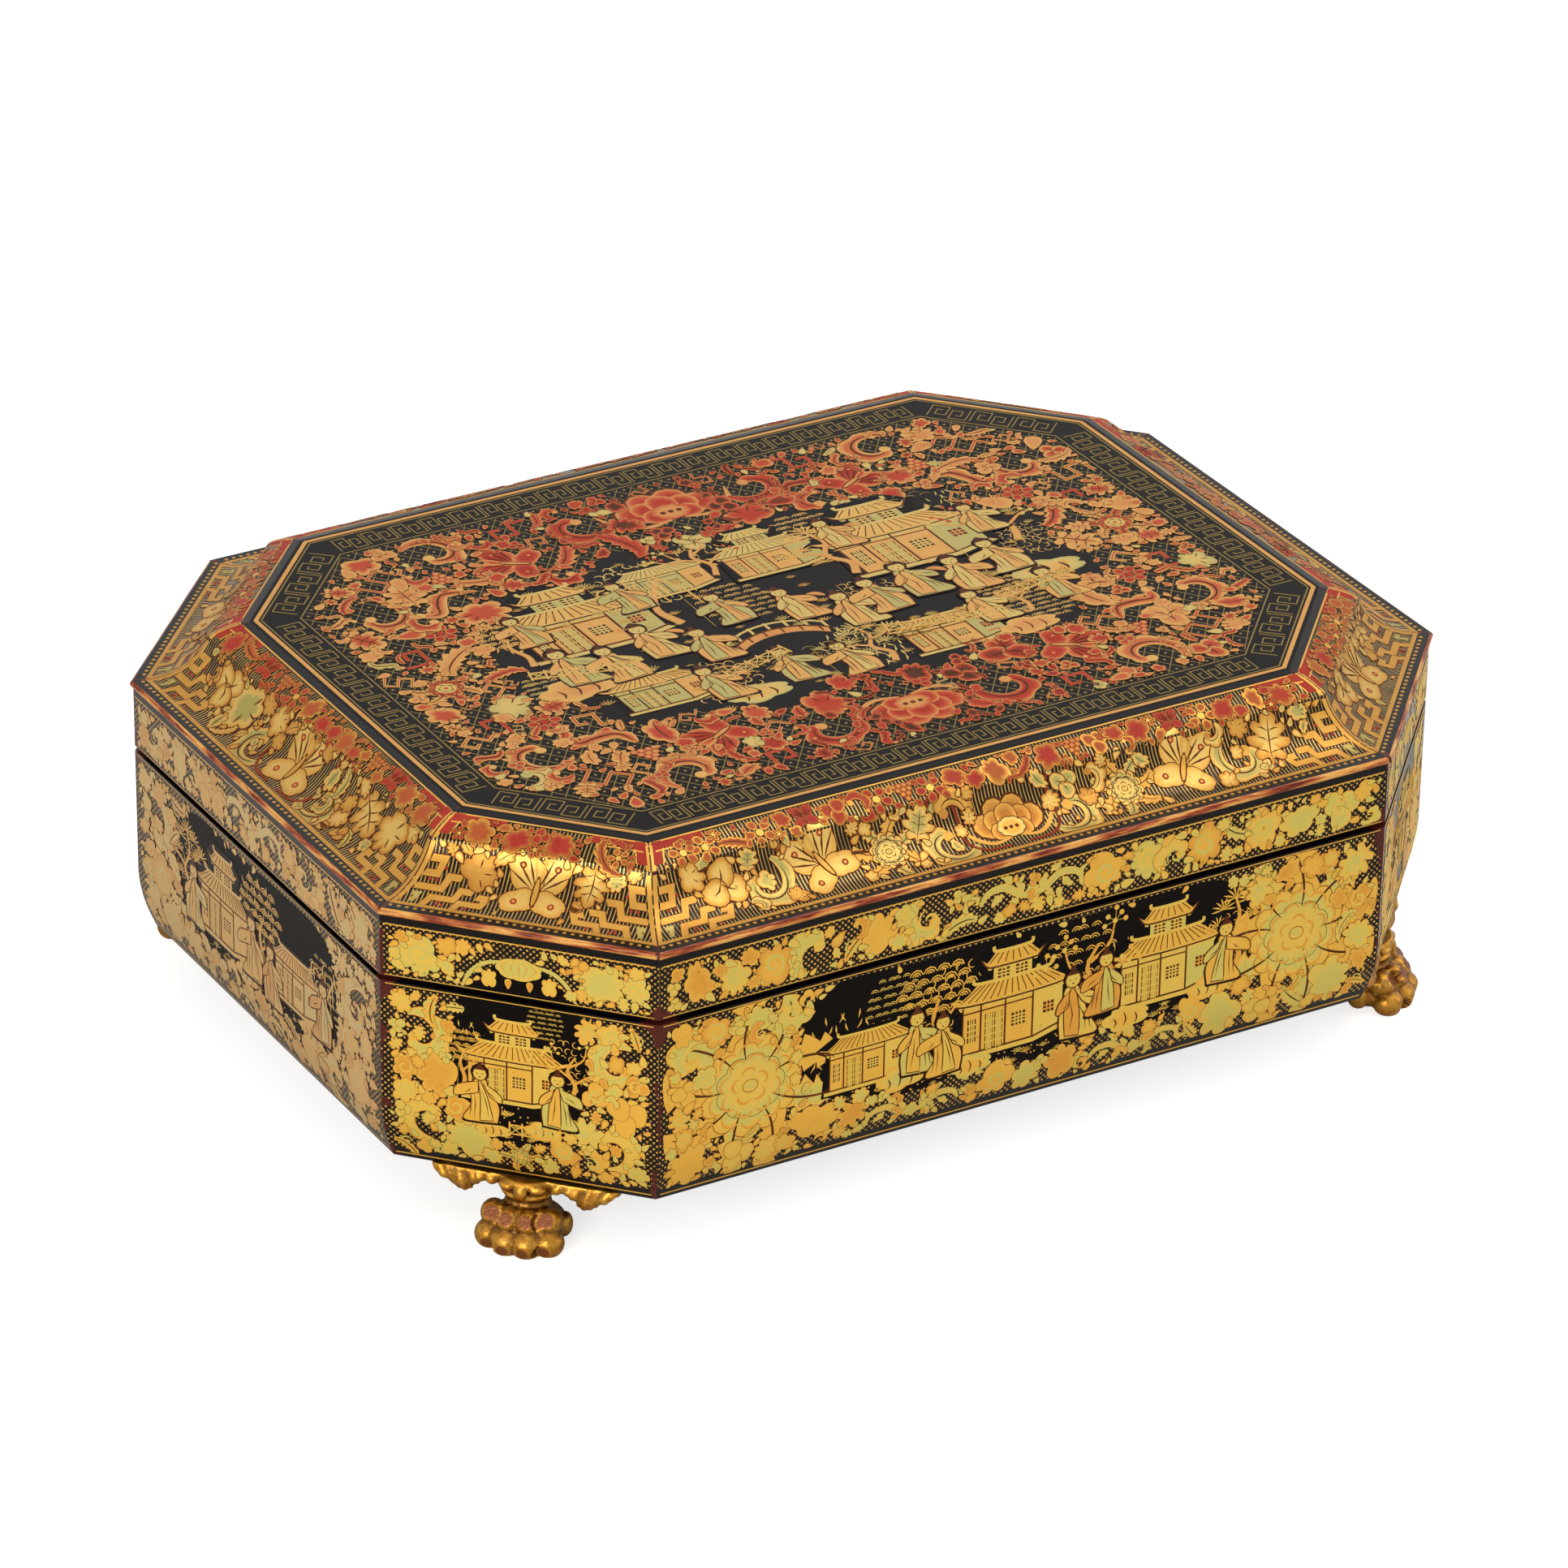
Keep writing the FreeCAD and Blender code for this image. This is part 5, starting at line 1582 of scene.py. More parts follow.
chance = np.random.default_rng(5)
for number in range(160):
    u, v = chance.uniform(-98, 98), chance.uniform(-56, 50)
    if outside(RESERVE, u, v)[0] < -3:
        garden.put(tuft(GOLD if number % 3 else PALE, 6, 130, 1.0, 0.1), u, v, chance.uniform(1.8, 3.4))
garden.shapes = [shape for shape in garden.shapes if outside(RESERVE, *shape[0][0][0].mean(axis=0))[0] < 2.5]
lay(garden, "gilt_top_garden", "lid", gilt_top)

# %% [markdown]
# ## The ogee border of the lid
# The hollow carries the richest gold: leaves with dark engraved outlines hang along it over fine
# lines, with lotus flowers and butterflies in the middle of the sides and angular strapwork at the
# corners. On the rounded shoulder the leaves are smaller and turn red. Gold lines follow the lower
# edge and the mitres, and a row of gold dots runs along the flat margin below.

# %% Borders that follow the mitres


def side_band(face, side, inset_at, low, high, tone, gap):
    """A line along a whole side between two values of v."""
    (left_low, right_low), (left_high, right_high) = [
        (gap - half_at(side, inset_at(v), False), half_at(side, inset_at(v)) - gap) for v in (low, high)]
    corners = np.array([(left_low, low), (right_low, low), (right_high, high), (left_high, high)])
    face.mark(corners, tone, LIFT_RULE)


def end_strips(face, side, inset_at, near, far, low, high, tone):
    """A line along each mitred end of a side, between two distances from it."""
    v = np.linspace(low, high, 16)
    for sign in (1, -1):
        reach = half_at(side, inset_at(v), sign > 0)
        one, two = (np.column_stack([sign * (reach - gap), v]) for gap in (near, far))
        face.mark(np.concatenate([one, two[::-1]]), tone, LIFT_RULE)


def side_room(side, inset_at, low, high, margin):
    """Space left at points of a field between two values of v, clear of the mitres."""
    def room(u, v):
        inset = inset_at(v)
        ends = np.minimum(half_at(side, inset) - u, half_at(side, inset, False) + u) - margin
        return np.minimum(ends, np.minimum(v - low, high - v))
    return room


def ogee_inset(v):
    return ogee_profile(np.asarray(v, float))[0]


# %% Leaves of the ogee


def gold_leaf(edge, core, chance, size, spots=False):
    """One leaf of the packing, in a kind and turn of its own."""
    kind = int(chance.integers(9)) if size > 2.2 else 8
    if kind < 4:
        return cloud_leaf(edge, core, 5 + chance.integers(3), 1.0, 0.85, 3 if spots else 0,
                          chance.integers(3))
    return {
        4: trefoil(edge, core, spots),
        5: leaf(edge, core, 7, 0.62, 0.2, spots),
        6: toothed_leaf(edge, core, spots),
        7: curl(edge, core, 0.6, 0.42, 3, spots),
        8: (drop(edge, core) if size < 3.2
            else moved(acanthus(edge, core, chance.uniform(-1, 1)), -0.95, 0, 1.9)),
    }[kind]


def low_leaf(face, u, v, size, chance):
    """A leaf of the hollow, gold with a dark outline and now and then a greenish heart."""
    core = GREEN if chance.uniform() < 0.24 else (GOLD if chance.uniform() < 0.4 else PALE)
    motif = gold_leaf(0.6 if core != GREEN else GOLD, core, chance, size, True)
    face.put(motif, u, v, size, chance.uniform(-60, 60) - 90, chance.uniform() < 0.5, 0.3)


def high_leaf(face, u, v, size, chance):
    """A leaf of the shoulder: red with a gold edge, or gold with a red heart."""
    edge, core = ((0.6, RED), (0.62, 0.36), (0.64, CORAL), (GOLD, CORAL))[int(chance.integers(4))]
    if size > 2.2 and chance.uniform() < 0.3:
        face.put(blossom(edge, core, 5, GOLD), u, v, size, chance.uniform(0, 70), False, 0.2)
    else:
        face.put(gold_leaf(edge, core, chance, size), u, v, size, chance.uniform(0, 360), False, 0.2)


OGEE_LOW = (5.2, 29.0)
OGEE_HIGH = (26.2, 37.7)
STRAP = 2.3
BROWN = 0.26
CURL_ROOM = ((0.8, 0.1, 0.3), (0.25, 0.7, 0.3), (-0.5, 0.4, 0.28), (-0.4, -0.25, 0.22), (0.05, -0.38, 0.16))


def corner_straps(face, taken, side):
    """Broad angular strapwork that grows out of the lower corners of the ogee."""
    for sign in (1, -1):
        def place(points, width, tone, level=LIFT_LEAF):
            outline = strap(points, width, tone)[0][0][0]
            ends = sign * (half_at(side, ogee_inset(outline[:, 1]), sign > 0) + outline[:, 0])
            face.mark(np.column_stack([ends, outline[:, 1]]), tone, level)
        base = 4.6
        for points in (
            [(-2.2, 22.0), (-6.4, 22.0), (-6.4, 17.2), (-2.2, 17.2)],
            [(-2.2, 12.4), (-10.5, 12.4), (-10.5, 16.8), (-14.5, 16.8)],
            [(-9.5, base), (-9.5, 8.8), (-16.5, 8.8), (-16.5, 12.6), (-20.5, 12.6)],
            [(-19.0, base), (-19.0, 7.9), (-25.5, 7.9), (-25.5, 11.2), (-22.3, 11.2)],
        ):
            place(points, STRAP + 0.5, DARK, LIFT_BACK)
            place(points, STRAP, GOLD)
        place([(-5.2, 5.6), (-5.2, 9.4), (-3.2, 9.4)], 1.7, GREEN)
        for du, v in ((-13.2, 5.9), (-14.9, 5.9), (-13.2, 7.2), (-8.0, 19.4), (-22.2, 5.9), (-5.0, 15.2),
                      (-7.2, 15.2)):
            u = sign * (half_at(side, ogee_inset(v), sign > 0) + du)
            face.mark(lobed(1, 0, 7) * 0.6 + (u, v), RED, LIFT_LEAF)
        for du, v, radius in ((-5, 8, 5.5), (-5, 14, 4), (-6, 20, 4), (-12, 14, 4), (-13, 8, 5), (-20, 9, 5),
                              (-25, 8.5, 3.5)):
            taken.append((sign * (half_at(side, ogee_inset(v), sign > 0) + du), v, radius))


def rolled_stem():
    """A brown stem that climbs the ogee beside the middle flower and rolls outwards, in mm."""
    path = curve([(3, 6), (12, 6.8), (16.5, 12), (16, 20), (17.5, 26.5), (22, 29.4), (25, 27), (23, 24.6)])
    return [stroke(path, 1.1, BROWN, LIFT_OVER, 0.4), disc(23.2, 25, 1.5, GREEN, LIFT_OVER, 10)]


for number, side in enumerate(SIDES):
    half = SIDES[side][2]
    face = bent_face(side, ogee_profile, OGEE_KNOTS, side_limit(side, ogee_inset, 4.9, 37.8, 1.9))
    side_band(face, side, ogee_inset, 3.3, 4.7, GOLD, 0.6)
    side_band(face, side, ogee_inset, 27.5, 27.9, DARK, 1.6)
    side_band(face, side, ogee_inset, 37.9, 38.5, GOLD, 1.6)
    end_strips(face, side, ogee_inset, 0.25, 1.7, 3.3, 30.0, GOLD)
    end_strips(face, side, ogee_inset, 0.25, 1.1, 30.0, 38.4, GOLD)
    end_strips(face, side, ogee_inset, 1.1, 4.1, 29.8, 38.3, RED)
    end_strips(face, side, ogee_inset, 4.3, 4.8, 29.8, 35.0, GOLD)
    reach = half_at(side, ogee_inset(2.1), True) - 1.6
    for u in np.arange(-reach, reach, 2.6):
        face.mark(lobed(1, 0, 7) * 0.68 + (u, 2.0), GOLD, LIFT_RULE)
    for sign in (1, -1):
        corner = sign * (half_at(side, ogee_inset(36.0), sign > 0) - 1.4)
        for length, low, high, tone in ((17, 35.0, 37.9, RED), (12, 34.2, 34.7, GOLD)):
            far = corner - sign * length
            bar = [(corner, low), (far, low), (far, high), (corner, high)]
            face.mark(np.array(bar), tone, LIFT_RULE)

    taken = []
    corner_straps(face, taken, side)
    if half > 60:
        middle = butterfly(GOLD, PALE) if number % 4 else lotus(GOLD, ORANGE, GREEN)
        turn = 90 if number % 4 else 0
        put_both(face, taken, middle, 0, 15.5, 14.0, turn, ((0, -0.05, 0.95),), 0.3, False)
        put_both(face, taken, curl(GOLD, GREEN, 0.75, 0.34, 4), 22, 13.0, 8.8, 200, CURL_ROOM)
        put_both(face, taken, rolled_stem(), 0, 0, 1, 0, ())
    if half > 100:
        put_both(face, taken, butterfly(GOLD, PALE), 64, 17, 13.0, 65, ((0, 0, 0.9),), 0.3)
        put_both(face, taken, peony(GOLD, GREEN), 42, 15.5, 9.5)
        put_both(face, taken, curl(GOLD, GREEN, 0.8, 0.34, 4), 85, 15.5, 9.0, 120, CURL_ROOM)
    if half < 60:
        put_both(face, taken, butterfly(GOLD, PALE), 0, 16, 13.0, 90, ((0, 0, 0.9),), 0.3, False)
    chance_number = 40 + number
    fill(face, side_room(side, ogee_inset, *OGEE_LOW, 2.2), (-half, 3, half, 29),
         ((6.6, 8.4), (5.2, 6.6), (4.0, 5.2), (2.8, 4.0), (1.9, 2.8), (1.2, 1.9), (0.8, 1.2)),
         low_leaf, taken, chance_number, 700, 1.3)
    overlaid = [(u, v, 0.8 * radius) for u, v, radius in taken]
    fill(face, side_room(side, ogee_inset, *OGEE_LOW, 2.2), (-half, 3, half, 27),
         ((3.4, 4.6), (2.4, 3.4)), low_leaf, overlaid, chance_number + 20, 600, 1.3)
    if half > 60:
        put_both(face, taken, berries(CORAL, ORANGE), 30, 32.5, 4.6, 0, ((0, 0, 0.8),), 0)
        put_both(face, taken, butterfly(CORAL, RED), half * 0.5, 32.7, 5.0, 90, ((0, 0, 0.9),), 0.2)
    raised = [(u, v, 0.7 * radius if v < 29 else radius) for u, v, radius in taken]
    fill(face, side_room(side, ogee_inset, *OGEE_HIGH, 4.6), (-half, 26, half, 38),
         ((3.8, 5.4), (2.6, 3.8), (1.8, 2.6), (1.2, 1.8), (0.8, 1.2)), high_leaf, raised, chance_number + 10,
         700, 1.34)
    lay(face, "gilt_ogee_" + side, "lid", gilt_ogee)

# %% [markdown]
# ## The upright sides of the lid
# Here the leaves are yellow gold, some with soft greenish hearts, and their outlines hardly show.
# They are packed closely over the net of dots. A scroll of two curling stems marks the middle of
# each long side and end. On the cut corners the oval reserve of the case runs on across the seam,
# and a ribbed pod with two stems closes it at the top. Thin gold lines run above and below.

# %% Sides of the lid
LID_FIELD = (lid_low + 0.9, lid_high - 3.2)
LEAF_SIZES = ((5.8, 7.4), (4.6, 5.8), (3.6, 4.6), (2.6, 3.6), (1.8, 2.6), (1.1, 1.8), (0.7, 1.1))
SCROLL_ROOM = ((-1.3, 0.1, 0.6), (-0.5, 0, 0.35), (0.5, 0, 0.35), (1.3, 0.1, 0.6))


def lid_locator(side):
    def locate(u, v, lift):
        return on_side(side, u, side_inset - lift, v)
    return locate


def flat_inset(v):
    return np.full(np.shape(v), float(side_inset))


def yellow_leaf(face, u, v, size, chance):
    """A soft leaf in yellow gold, greenish gold or both."""
    pairs = ((GOLD, GOLD), (GOLD, PALE), (GOLD, ORANGE), (GOLD, GREEN), (GREEN, PALE), (PALE, GREEN),
             (ORANGE, GOLD))
    edge, core = pairs[int(chance.integers(len(pairs)))]
    motif = gold_leaf(edge, core, chance, size)
    if size > 3.6 and chance.uniform() < 0.6:
        motif = motif + swirl(GREEN if core in (GOLD, PALE) else PALE)
    face.put(motif, u, v, size, chance.uniform(0, 360), chance.uniform() < 0.5, 0.12)


def scroll(edge, core):
    """Two stems that part from the middle and roll up at their ends, with small leaves on them."""
    made = []
    for sign in (1, -1):
        path = curve([(0, -0.25), (sign * 0.45, -0.05), (sign * 0.95, 0.28), (sign * 1.5, 0.2),
                      (sign * 1.75, -0.15)])
        swell = 0.13 * np.sin(math.pi * np.clip(np.linspace(0.1, 0.95, len(path)), 0, 1)) ** 0.6
        made.append(ribbon(path, swell, swell, edge, core))
        turn = 100 if sign > 0 else 80
        made += moved(curl(edge, core, 0.7, 0.3, 3, False), sign * 1.95, -0.02, 0.36, turn, sign < 0)
        for x, y, turn in ((0.4, 0.2, 60), (0.85, 0.55, 40), (1.2, -0.08, -40), (0.62, -0.32, -60)):
            turn = turn if sign > 0 else 180 - turn
            made += moved(leaf(edge, core, 5, 0.5, 0.2, False), sign * x, y, 0.26, turn)
    knot = shaped(lobed(5, 0.2), 0.24, 0.3, shift=(0, -0.1))
    made.append(blob(knot, core, edge, LIFT_OVER, 0.5, (0, -0.1)))
    return made


def fill_twice(face, room, box, taken, seed, tries=800):
    """Pack soft leaves, and then a second layer of them half over the first."""
    fill(face, room, box, LEAF_SIZES, yellow_leaf, taken, seed, 800, 1.34)
    overlaid = [(u, v, 0.76 * radius) for u, v, radius in taken]
    fill(face, room, box, LEAF_SIZES[2:6], yellow_leaf, overlaid, seed + 200, tries, 1.34)


OVAL = (22.5, 32.0, 66.5)
CAP_REACH = (38, 142)
CROWN_ROOM = ((0, 97.5, 7.5), (10, 98, 3.6), (-10, 98, 3.6), (16, 94.5, 2.6), (-16, 94.5, 2.6))


def oval(start, end, steps):
    """Points along the oval reserve of a cut corner, in degrees."""
    return arc(0, 0, 1, start, end, steps) * OVAL[:2] + (0, OVAL[2])


def crown():
    """A ribbed pod with two stems that run down the sides of the oval, in mm."""
    made = [blob(shaped(lobed(7, 0.08, 6), 7.4, 3.8), PALE, GREEN, LIFT_OVER, 0.6)]
    for x in (-4.6, -2.2, 0, 2.2, 4.6):
        made.append(stroke([(x * 0.5, 3.2), (x * 1.2, 0.4), (x * 0.6, -3.0)], 0.4, ORANGE))
    for sign in (1, -1):
        stem = curve([(sign * 5, 2.0), (sign * 11, 0.4), (sign * 15.5, -3.6), (sign * 18, -9)])
        made.append(stroke(stem, 1.4, GREEN, LIFT_LEAF, 0.5))
        made += moved(cloud_leaf(GOLD, PALE, 5), sign * 9.5, -4.2, 3.4, -90)
        made += moved(drop(GOLD, ORANGE), sign * 3.4, -5.4, 1.8, -90)
    return made


for number, side in enumerate(SIDES):
    half = SIDES[side][2]
    face = Face(lid_locator(side), limit=side_limit(side, flat_inset, lid_low + 0.8, lid_high - 3.1, 1.3))
    side_band(face, side, flat_inset, lid_high - 2.9, lid_high - 2.5, GOLD, 1.2)
    side_band(face, side, flat_inset, lid_low + 0.35, lid_low + 0.6, GOLD, 1.4)
    taken = []
    if half > 60:
        put_both(face, taken, scroll(PALE, GREEN), 0, 97.5, 10.5, 0, SCROLL_ROOM, 0, False)
    else:
        face.put(crown(), 0, 96.4)
        taken += CROWN_ROOM
        cap = oval(*CAP_REACH, 24)
        cap[:, 1] = np.maximum(cap[:, 1], lid_low + 0.7)
        ground = Face(lid_locator(side))
        ground.mark(cap, BLACK, LIFT_GROUND)
        lay(ground, "black_cap_" + side, "lid", lacquer_plain)
    clear = side_room(side, flat_inset, *LID_FIELD, 2.0)

    def room(u, v):
        return clear(u, v) if half > 60 else np.minimum(clear(u, v), outside(oval(0, 360, 60), u, v) + 2.0)

    fill_twice(face, room, (-half, lid_low, half, lid_high), taken, 70 + number, 250 if half > 100 else 800)
    lay(face, "gilt_lid_" + side, "lid", gilt_end_painted_sheen if side in ENDS else gilt_side)

# %% [markdown]
# ## The sides of the case
# Each long side is framed by a large peony at each end and a band of leaves along the foot. They
# leave a black reserve with a garden scene. The cut corners carry an oval reserve with a small
# pavilion, ringed with leaves. The long sides and the ends each have a scene of their own.

# %% Scene builder
CASE_FIELD = (case_low + 3.4, rim_step - 1.2)
TUFT_TOP = 46
OVERLAP = 2.5
STEM_ROOM = ((-1.3, 0.1, 0.5), (0, 0, 0.4), (1.3, 0.1, 0.5))


def case_face(side):
    """A face for a side of the case, between its frame lines."""
    limit = side_limit(side, wall_inset, case_low + 2.4, rim_step - 1.1, 1.4)
    return bent_face(side, wall_profile, CASE_KNOTS, limit)


def stand(face, pieces):
    """Put the pieces (u, v, size, motif) of a scene."""
    for u, v, size, motif in pieces:
        face.put(motif, u, v, size)


def people(face, places, seed):
    """Figures in varied robes at the places (u, v, size)."""
    robes = ((GREEN, GOLD), (GOLD, PALE), (PALE, ORANGE), (ORANGE, GREEN), (GOLD, GREEN))
    for number, (u, v, size) in enumerate(places):
        robe, sash = robes[(number + seed) % len(robes)]
        face.put(figure(robe, sash, number + seed), u, v, size, 0, (number + seed) % 2 == 1)


def undergrowth(face, outline, reach, low, seed, count):
    """Tufts and dotted ground in the lower part of a reserve."""
    chance = np.random.default_rng(seed)
    for number in range(count):
        u, v = chance.uniform(-reach, reach), chance.uniform(low, TUFT_TOP)
        if outside(outline, u, v)[0] < -1.2:
            face.put(tuft(GOLD if number % 2 else PALE, 6, 130, 1.0, 0.12), u, v, chance.uniform(1.3, 2.6))
    for number in range(count * 3):
        u, v = chance.uniform(-reach, reach), chance.uniform(low, TUFT_TOP + 3)
        if outside(outline, u, v)[0] < -1.0:
            face.mark(lobed(1, 0, 5) * 0.32 + (u, v), GOLD, LIFT_GROUND + 0.03)


LONG_RESERVE = curve([
    (-82, 62), (-78, 76), (-66, 83.2), (-40, 82.6), (-12, 83.4), (20, 82.6), (50, 83.4), (70, 82), (80, 72),
    (84, 58), (76, 46), (60, 42), (44, 38.5), (22, 40), (4, 36.5), (-18, 39.5), (-42, 37.5), (-60, 42),
    (-76, 46), (-82, 62),
], 4)[:-1]
END_RESERVE = curve([
    (-56, 60), (-52, 76), (-40, 82.8), (-14, 82.2), (14, 83), (42, 82.2), (54, 74), (57, 58), (50, 44),
    (32, 38.5), (10, 40), (-10, 37.5), (-34, 39.5), (-50, 45), (-56, 60),
], 4)[:-1]
CANT_RESERVE = oval(0, 360, 41)[:-1]


def reserve_scene(side, reserve, ground, pieces, figures, number, material, last=()):
    """The black reserve of a side, and the scene in it. Ground is the reach, the lower end, the seed
    and the count of the undergrowth."""
    plain = case_face(side)
    plain.mark(reserve, BLACK, LIFT_GROUND)
    lay(plain, "black_reserve_" + side, "case", lacquer_plain)
    scene = case_face(side)
    undergrowth(scene, reserve, *ground)
    stand(scene, pieces)
    people(scene, figures, number)
    stand(scene, last)
    lay(scene, "gilt_scene_" + side, "case", material)


def reserve_leaves(side, reserve, marks, seed, material):
    """Thin gold lines along a side, its large motifs, and soft leaves packed round its reserve."""
    face = case_face(side)
    side_band(face, side, wall_inset, case_low + 1.6, case_low + 2.1, GOLD, 1.4)
    side_band(face, side, wall_inset, rim_step - 0.9, rim_step - 0.6, GOLD, 1.6)
    taken = []
    for mark in marks:
        put_both(face, taken, *mark)
    half = SIDES[side][2]
    clear = side_room(side, wall_inset, *CASE_FIELD, 2.2)

    def room(u, v):
        return np.minimum(clear(u, v), outside(reserve, u, v) + OVERLAP)

    box = (-half, CASE_FIELD[0], half, CASE_FIELD[1])
    fill_twice(face, room, box, taken, seed, 250 if half > 100 else 800)
    lay(face, "gilt_case_" + side, "case", material)


# %% Long sides
SCENES = {
    "front": (
        [(-66, 58, 13, thicket(GOLD, 0)), (-26, 66, 13, thicket(GOLD, 2)), (18, 66, 14, thicket(GOLD, 1)),
         (36, 58, 12, thicket(PALE, 0)), (76, 60, 10, thicket(GOLD, 2)), (-48, 70, 10, thicket(PALE, 1)),
         (-57, 46, 14.5, house(GOLD, PALE, upper=False)), (-6, 45.5, 19, house(GOLD, PALE)),
         (50, 47, 18, house(PALE, GREEN)), (-33, 46, 18, leafy_tree(GOLD)),
         (22, 47, 19, blossom_tree(PALE, GOLD)), (75, 49, 15, pine(GOLD)), (-45, 41, 9, rock(GOLD, GREEN)),
         (36, 40, 9, rock(PALE, GOLD)), (66, 43, 8, rock(GOLD, PALE)), (-20, 39, 8, rock(GREEN, GOLD))],
        [(-40, 44, 11.5), (-29, 41, 11.0), (17, 41, 12.4), (28, 47, 11.2), (70, 46, 11.2)],
    ),
    "back": (
        [(-70, 60, 12, thicket(GOLD, 2)), (-22, 66, 13, thicket(GOLD, 1)), (32, 66, 13, thicket(PALE, 0)),
         (78, 60, 10, thicket(GOLD, 0)), (-2, 68, 11, thicket(GOLD, 2)),
         (-48, 46, 18, house(GOLD, PALE)), (12, 47, 15, house(PALE, GREEN, upper=False)),
         (56, 46, 17, house(GOLD, GREEN)), (-22, 45, 18, pine(GOLD)), (34, 46, 18, willow(PALE)),
         (-76, 49, 16, leafy_tree(PALE)), (-8, 42, 10, bridge(GOLD, PALE)),
         (-30, 40, 9, rock(GOLD, GREEN)), (42, 40, 8, rock(PALE, GOLD))],
        [(-70, 44, 11.2), (-26, 45, 11.4), (-8, 46, 11.0), (29, 42, 11.6), (76, 44, 11.2)],
    ),
}
for number, side in enumerate(("front", "back")):
    ground = (84, 36, 90 + number, 110)
    reserve_scene(side, LONG_RESERVE, ground, *SCENES[side], number, gilt_side)
    reserve_leaves(side, LONG_RESERVE, (
        (peony(GOLD, GREEN, 9, ORANGE), 98, 56, 26, 0, ((0, 0, 0.72),), 0.2),
        (scroll(GREEN, PALE), 40, 31.5, 9.5, 0, STEM_ROOM, 0),
    ), 100 + number, gilt_side)

# %% Ends
END_SCENES = {
    "left": (
        [(-44, 60, 11, thicket(GOLD, 2)), (2, 66, 13, thicket(GOLD, 0)), (46, 62, 11, thicket(PALE, 1)),
         (-22, 46, 17, house(GOLD, PALE)), (27, 47, 14.5, house(PALE, GREEN, upper=False)),
         (4, 45, 18, leafy_tree(GOLD)), (48, 48, 15, willow(PALE)), (-47, 48, 15, pine(GOLD)),
         (-6, 40, 8, rock(GOLD, GREEN)), (38, 41, 8, rock(PALE, GOLD))],
        [(-43, 43, 11.2), (-1, 43, 11.6), (11, 40, 11.0), (46, 44, 11.2)],
    ),
    "right": (
        [(-44, 62, 11, thicket(GOLD, 1)), (-4, 66, 13, thicket(PALE, 2)), (48, 60, 11, thicket(GOLD, 0)),
         (-29, 47, 14.5, house(PALE, GREEN, upper=False)), (22, 46, 17, house(GOLD, PALE)),
         (-5, 45, 18, pine(GOLD)), (48, 48, 15, leafy_tree(GOLD)), (-47, 48, 15, blossom_tree(PALE, GOLD)),
         (-16, 40, 8, rock(GOLD, GREEN)), (40, 41, 8, rock(PALE, GOLD))],
        [(-44, 43, 11.2), (-8, 43, 11.4), (3, 41, 11.2), (44, 44, 11.2)],
    ),
}
for number, side in enumerate(ENDS):
    ground = (58, 36, 94 + number, 80)
    reserve_scene(side, END_RESERVE, ground, *END_SCENES[side], number, gilt_end_painted_sheen)
    reserve_leaves(side, END_RESERVE, (
        (curl(GOLD, GREEN, 0.8, 0.32, 5, False), 68, 66, 10, 60, CURL_ROOM),
        (scroll(GREEN, PALE), 0, 31, 9, 0, STEM_ROOM, 0, False),
    ), 104 + number, gilt_end_painted_sheen)

# %% Cut corners
CANT_SCENE = (
    (-14, 66, 9, thicket(GOLD, 2)), (15, 66, 9, thicket(PALE, 0)), (2, 51, 15.5, house(GOLD, PALE)),
    (-16, 54, 12, blossom_tree(PALE, GOLD)), (-8, 79, 6, thicket(PALE, 1)), (18, 52, 11, leafy_tree(GOLD)),
    (-8, 40, 6.5, rock(GOLD, GREEN)), (8, 38, 5.5, rock(PALE, GOLD)),
)
for number, side in enumerate(("front_left", "front_right", "back_right", "back_left")):
    flip = 1 if number % 2 else -1
    pieces = [(flip * u, v, size, motif) for u, v, size, motif in CANT_SCENE]
    figures = [(-12 * flip, 44, 10), (11 * flip, 42, 10)]
    ground = (26, 34, 98 + number, 50)
    garden_fence = [(-3, 39, 4, fence(4))]
    reserve_scene(side, CANT_RESERVE, ground, pieces, figures, number, gilt_side, garden_fence)
    reserve_leaves(side, CANT_RESERVE, (
        (peony(GOLD, GREEN, 6), 0, 31.0, 5.4, 0, ((0, 0, 1.1),), 0, False),
        (curl(GOLD, GREEN, 0.8, 0.34, 5, False), 31, 68, 8.5, 60, CURL_ROOM),
        (curl(GOLD, PALE, 0.75, 0.34, 4, False), 29, 40, 8.0, 260, CURL_ROOM),
    ), 108 + number, gilt_side)

# %% [markdown]
# ## Carved feet
# Each foot is a lion's paw below a pair of winged brackets, carved in wood and gilded over red-brown
# clay. It is built as a carver would think of it: lumps for the pad and the toes, a cuff round the
# ankle, and slanting ridges side by side for the leafy wings, whose lower line drops into a pointed
# lobe. The lumps are joined and remeshed into one skin, smoothed, and cut off flat at the sole and
# under the case. The ends of the toes are cut to small flat facets.

# %% Lumps and limbs


def lump(work, centre, radii, turn=0.0):
    """A rounded lump with three half widths, turned about the upright axis."""
    matrix = Matrix.Translation(centre) @ Matrix.Rotation(math.radians(turn), 4, "Z")
    matrix = matrix @ Matrix.Diagonal((*radii, 1))
    bmesh.ops.create_icosphere(work, subdivisions=3, radius=1.0, matrix=matrix)


def limb(work, points, radii):
    """Overlapping round lumps along a path, with a radius at each given point."""
    path = curve(points, 6)
    swell = np.interp(np.linspace(0, 1, len(path)), np.linspace(0, 1, len(radii)), radii)
    for place, radius in zip(path, swell):
        bmesh.ops.create_icosphere(work, subdivisions=2, radius=radius, matrix=Matrix.Translation(place))


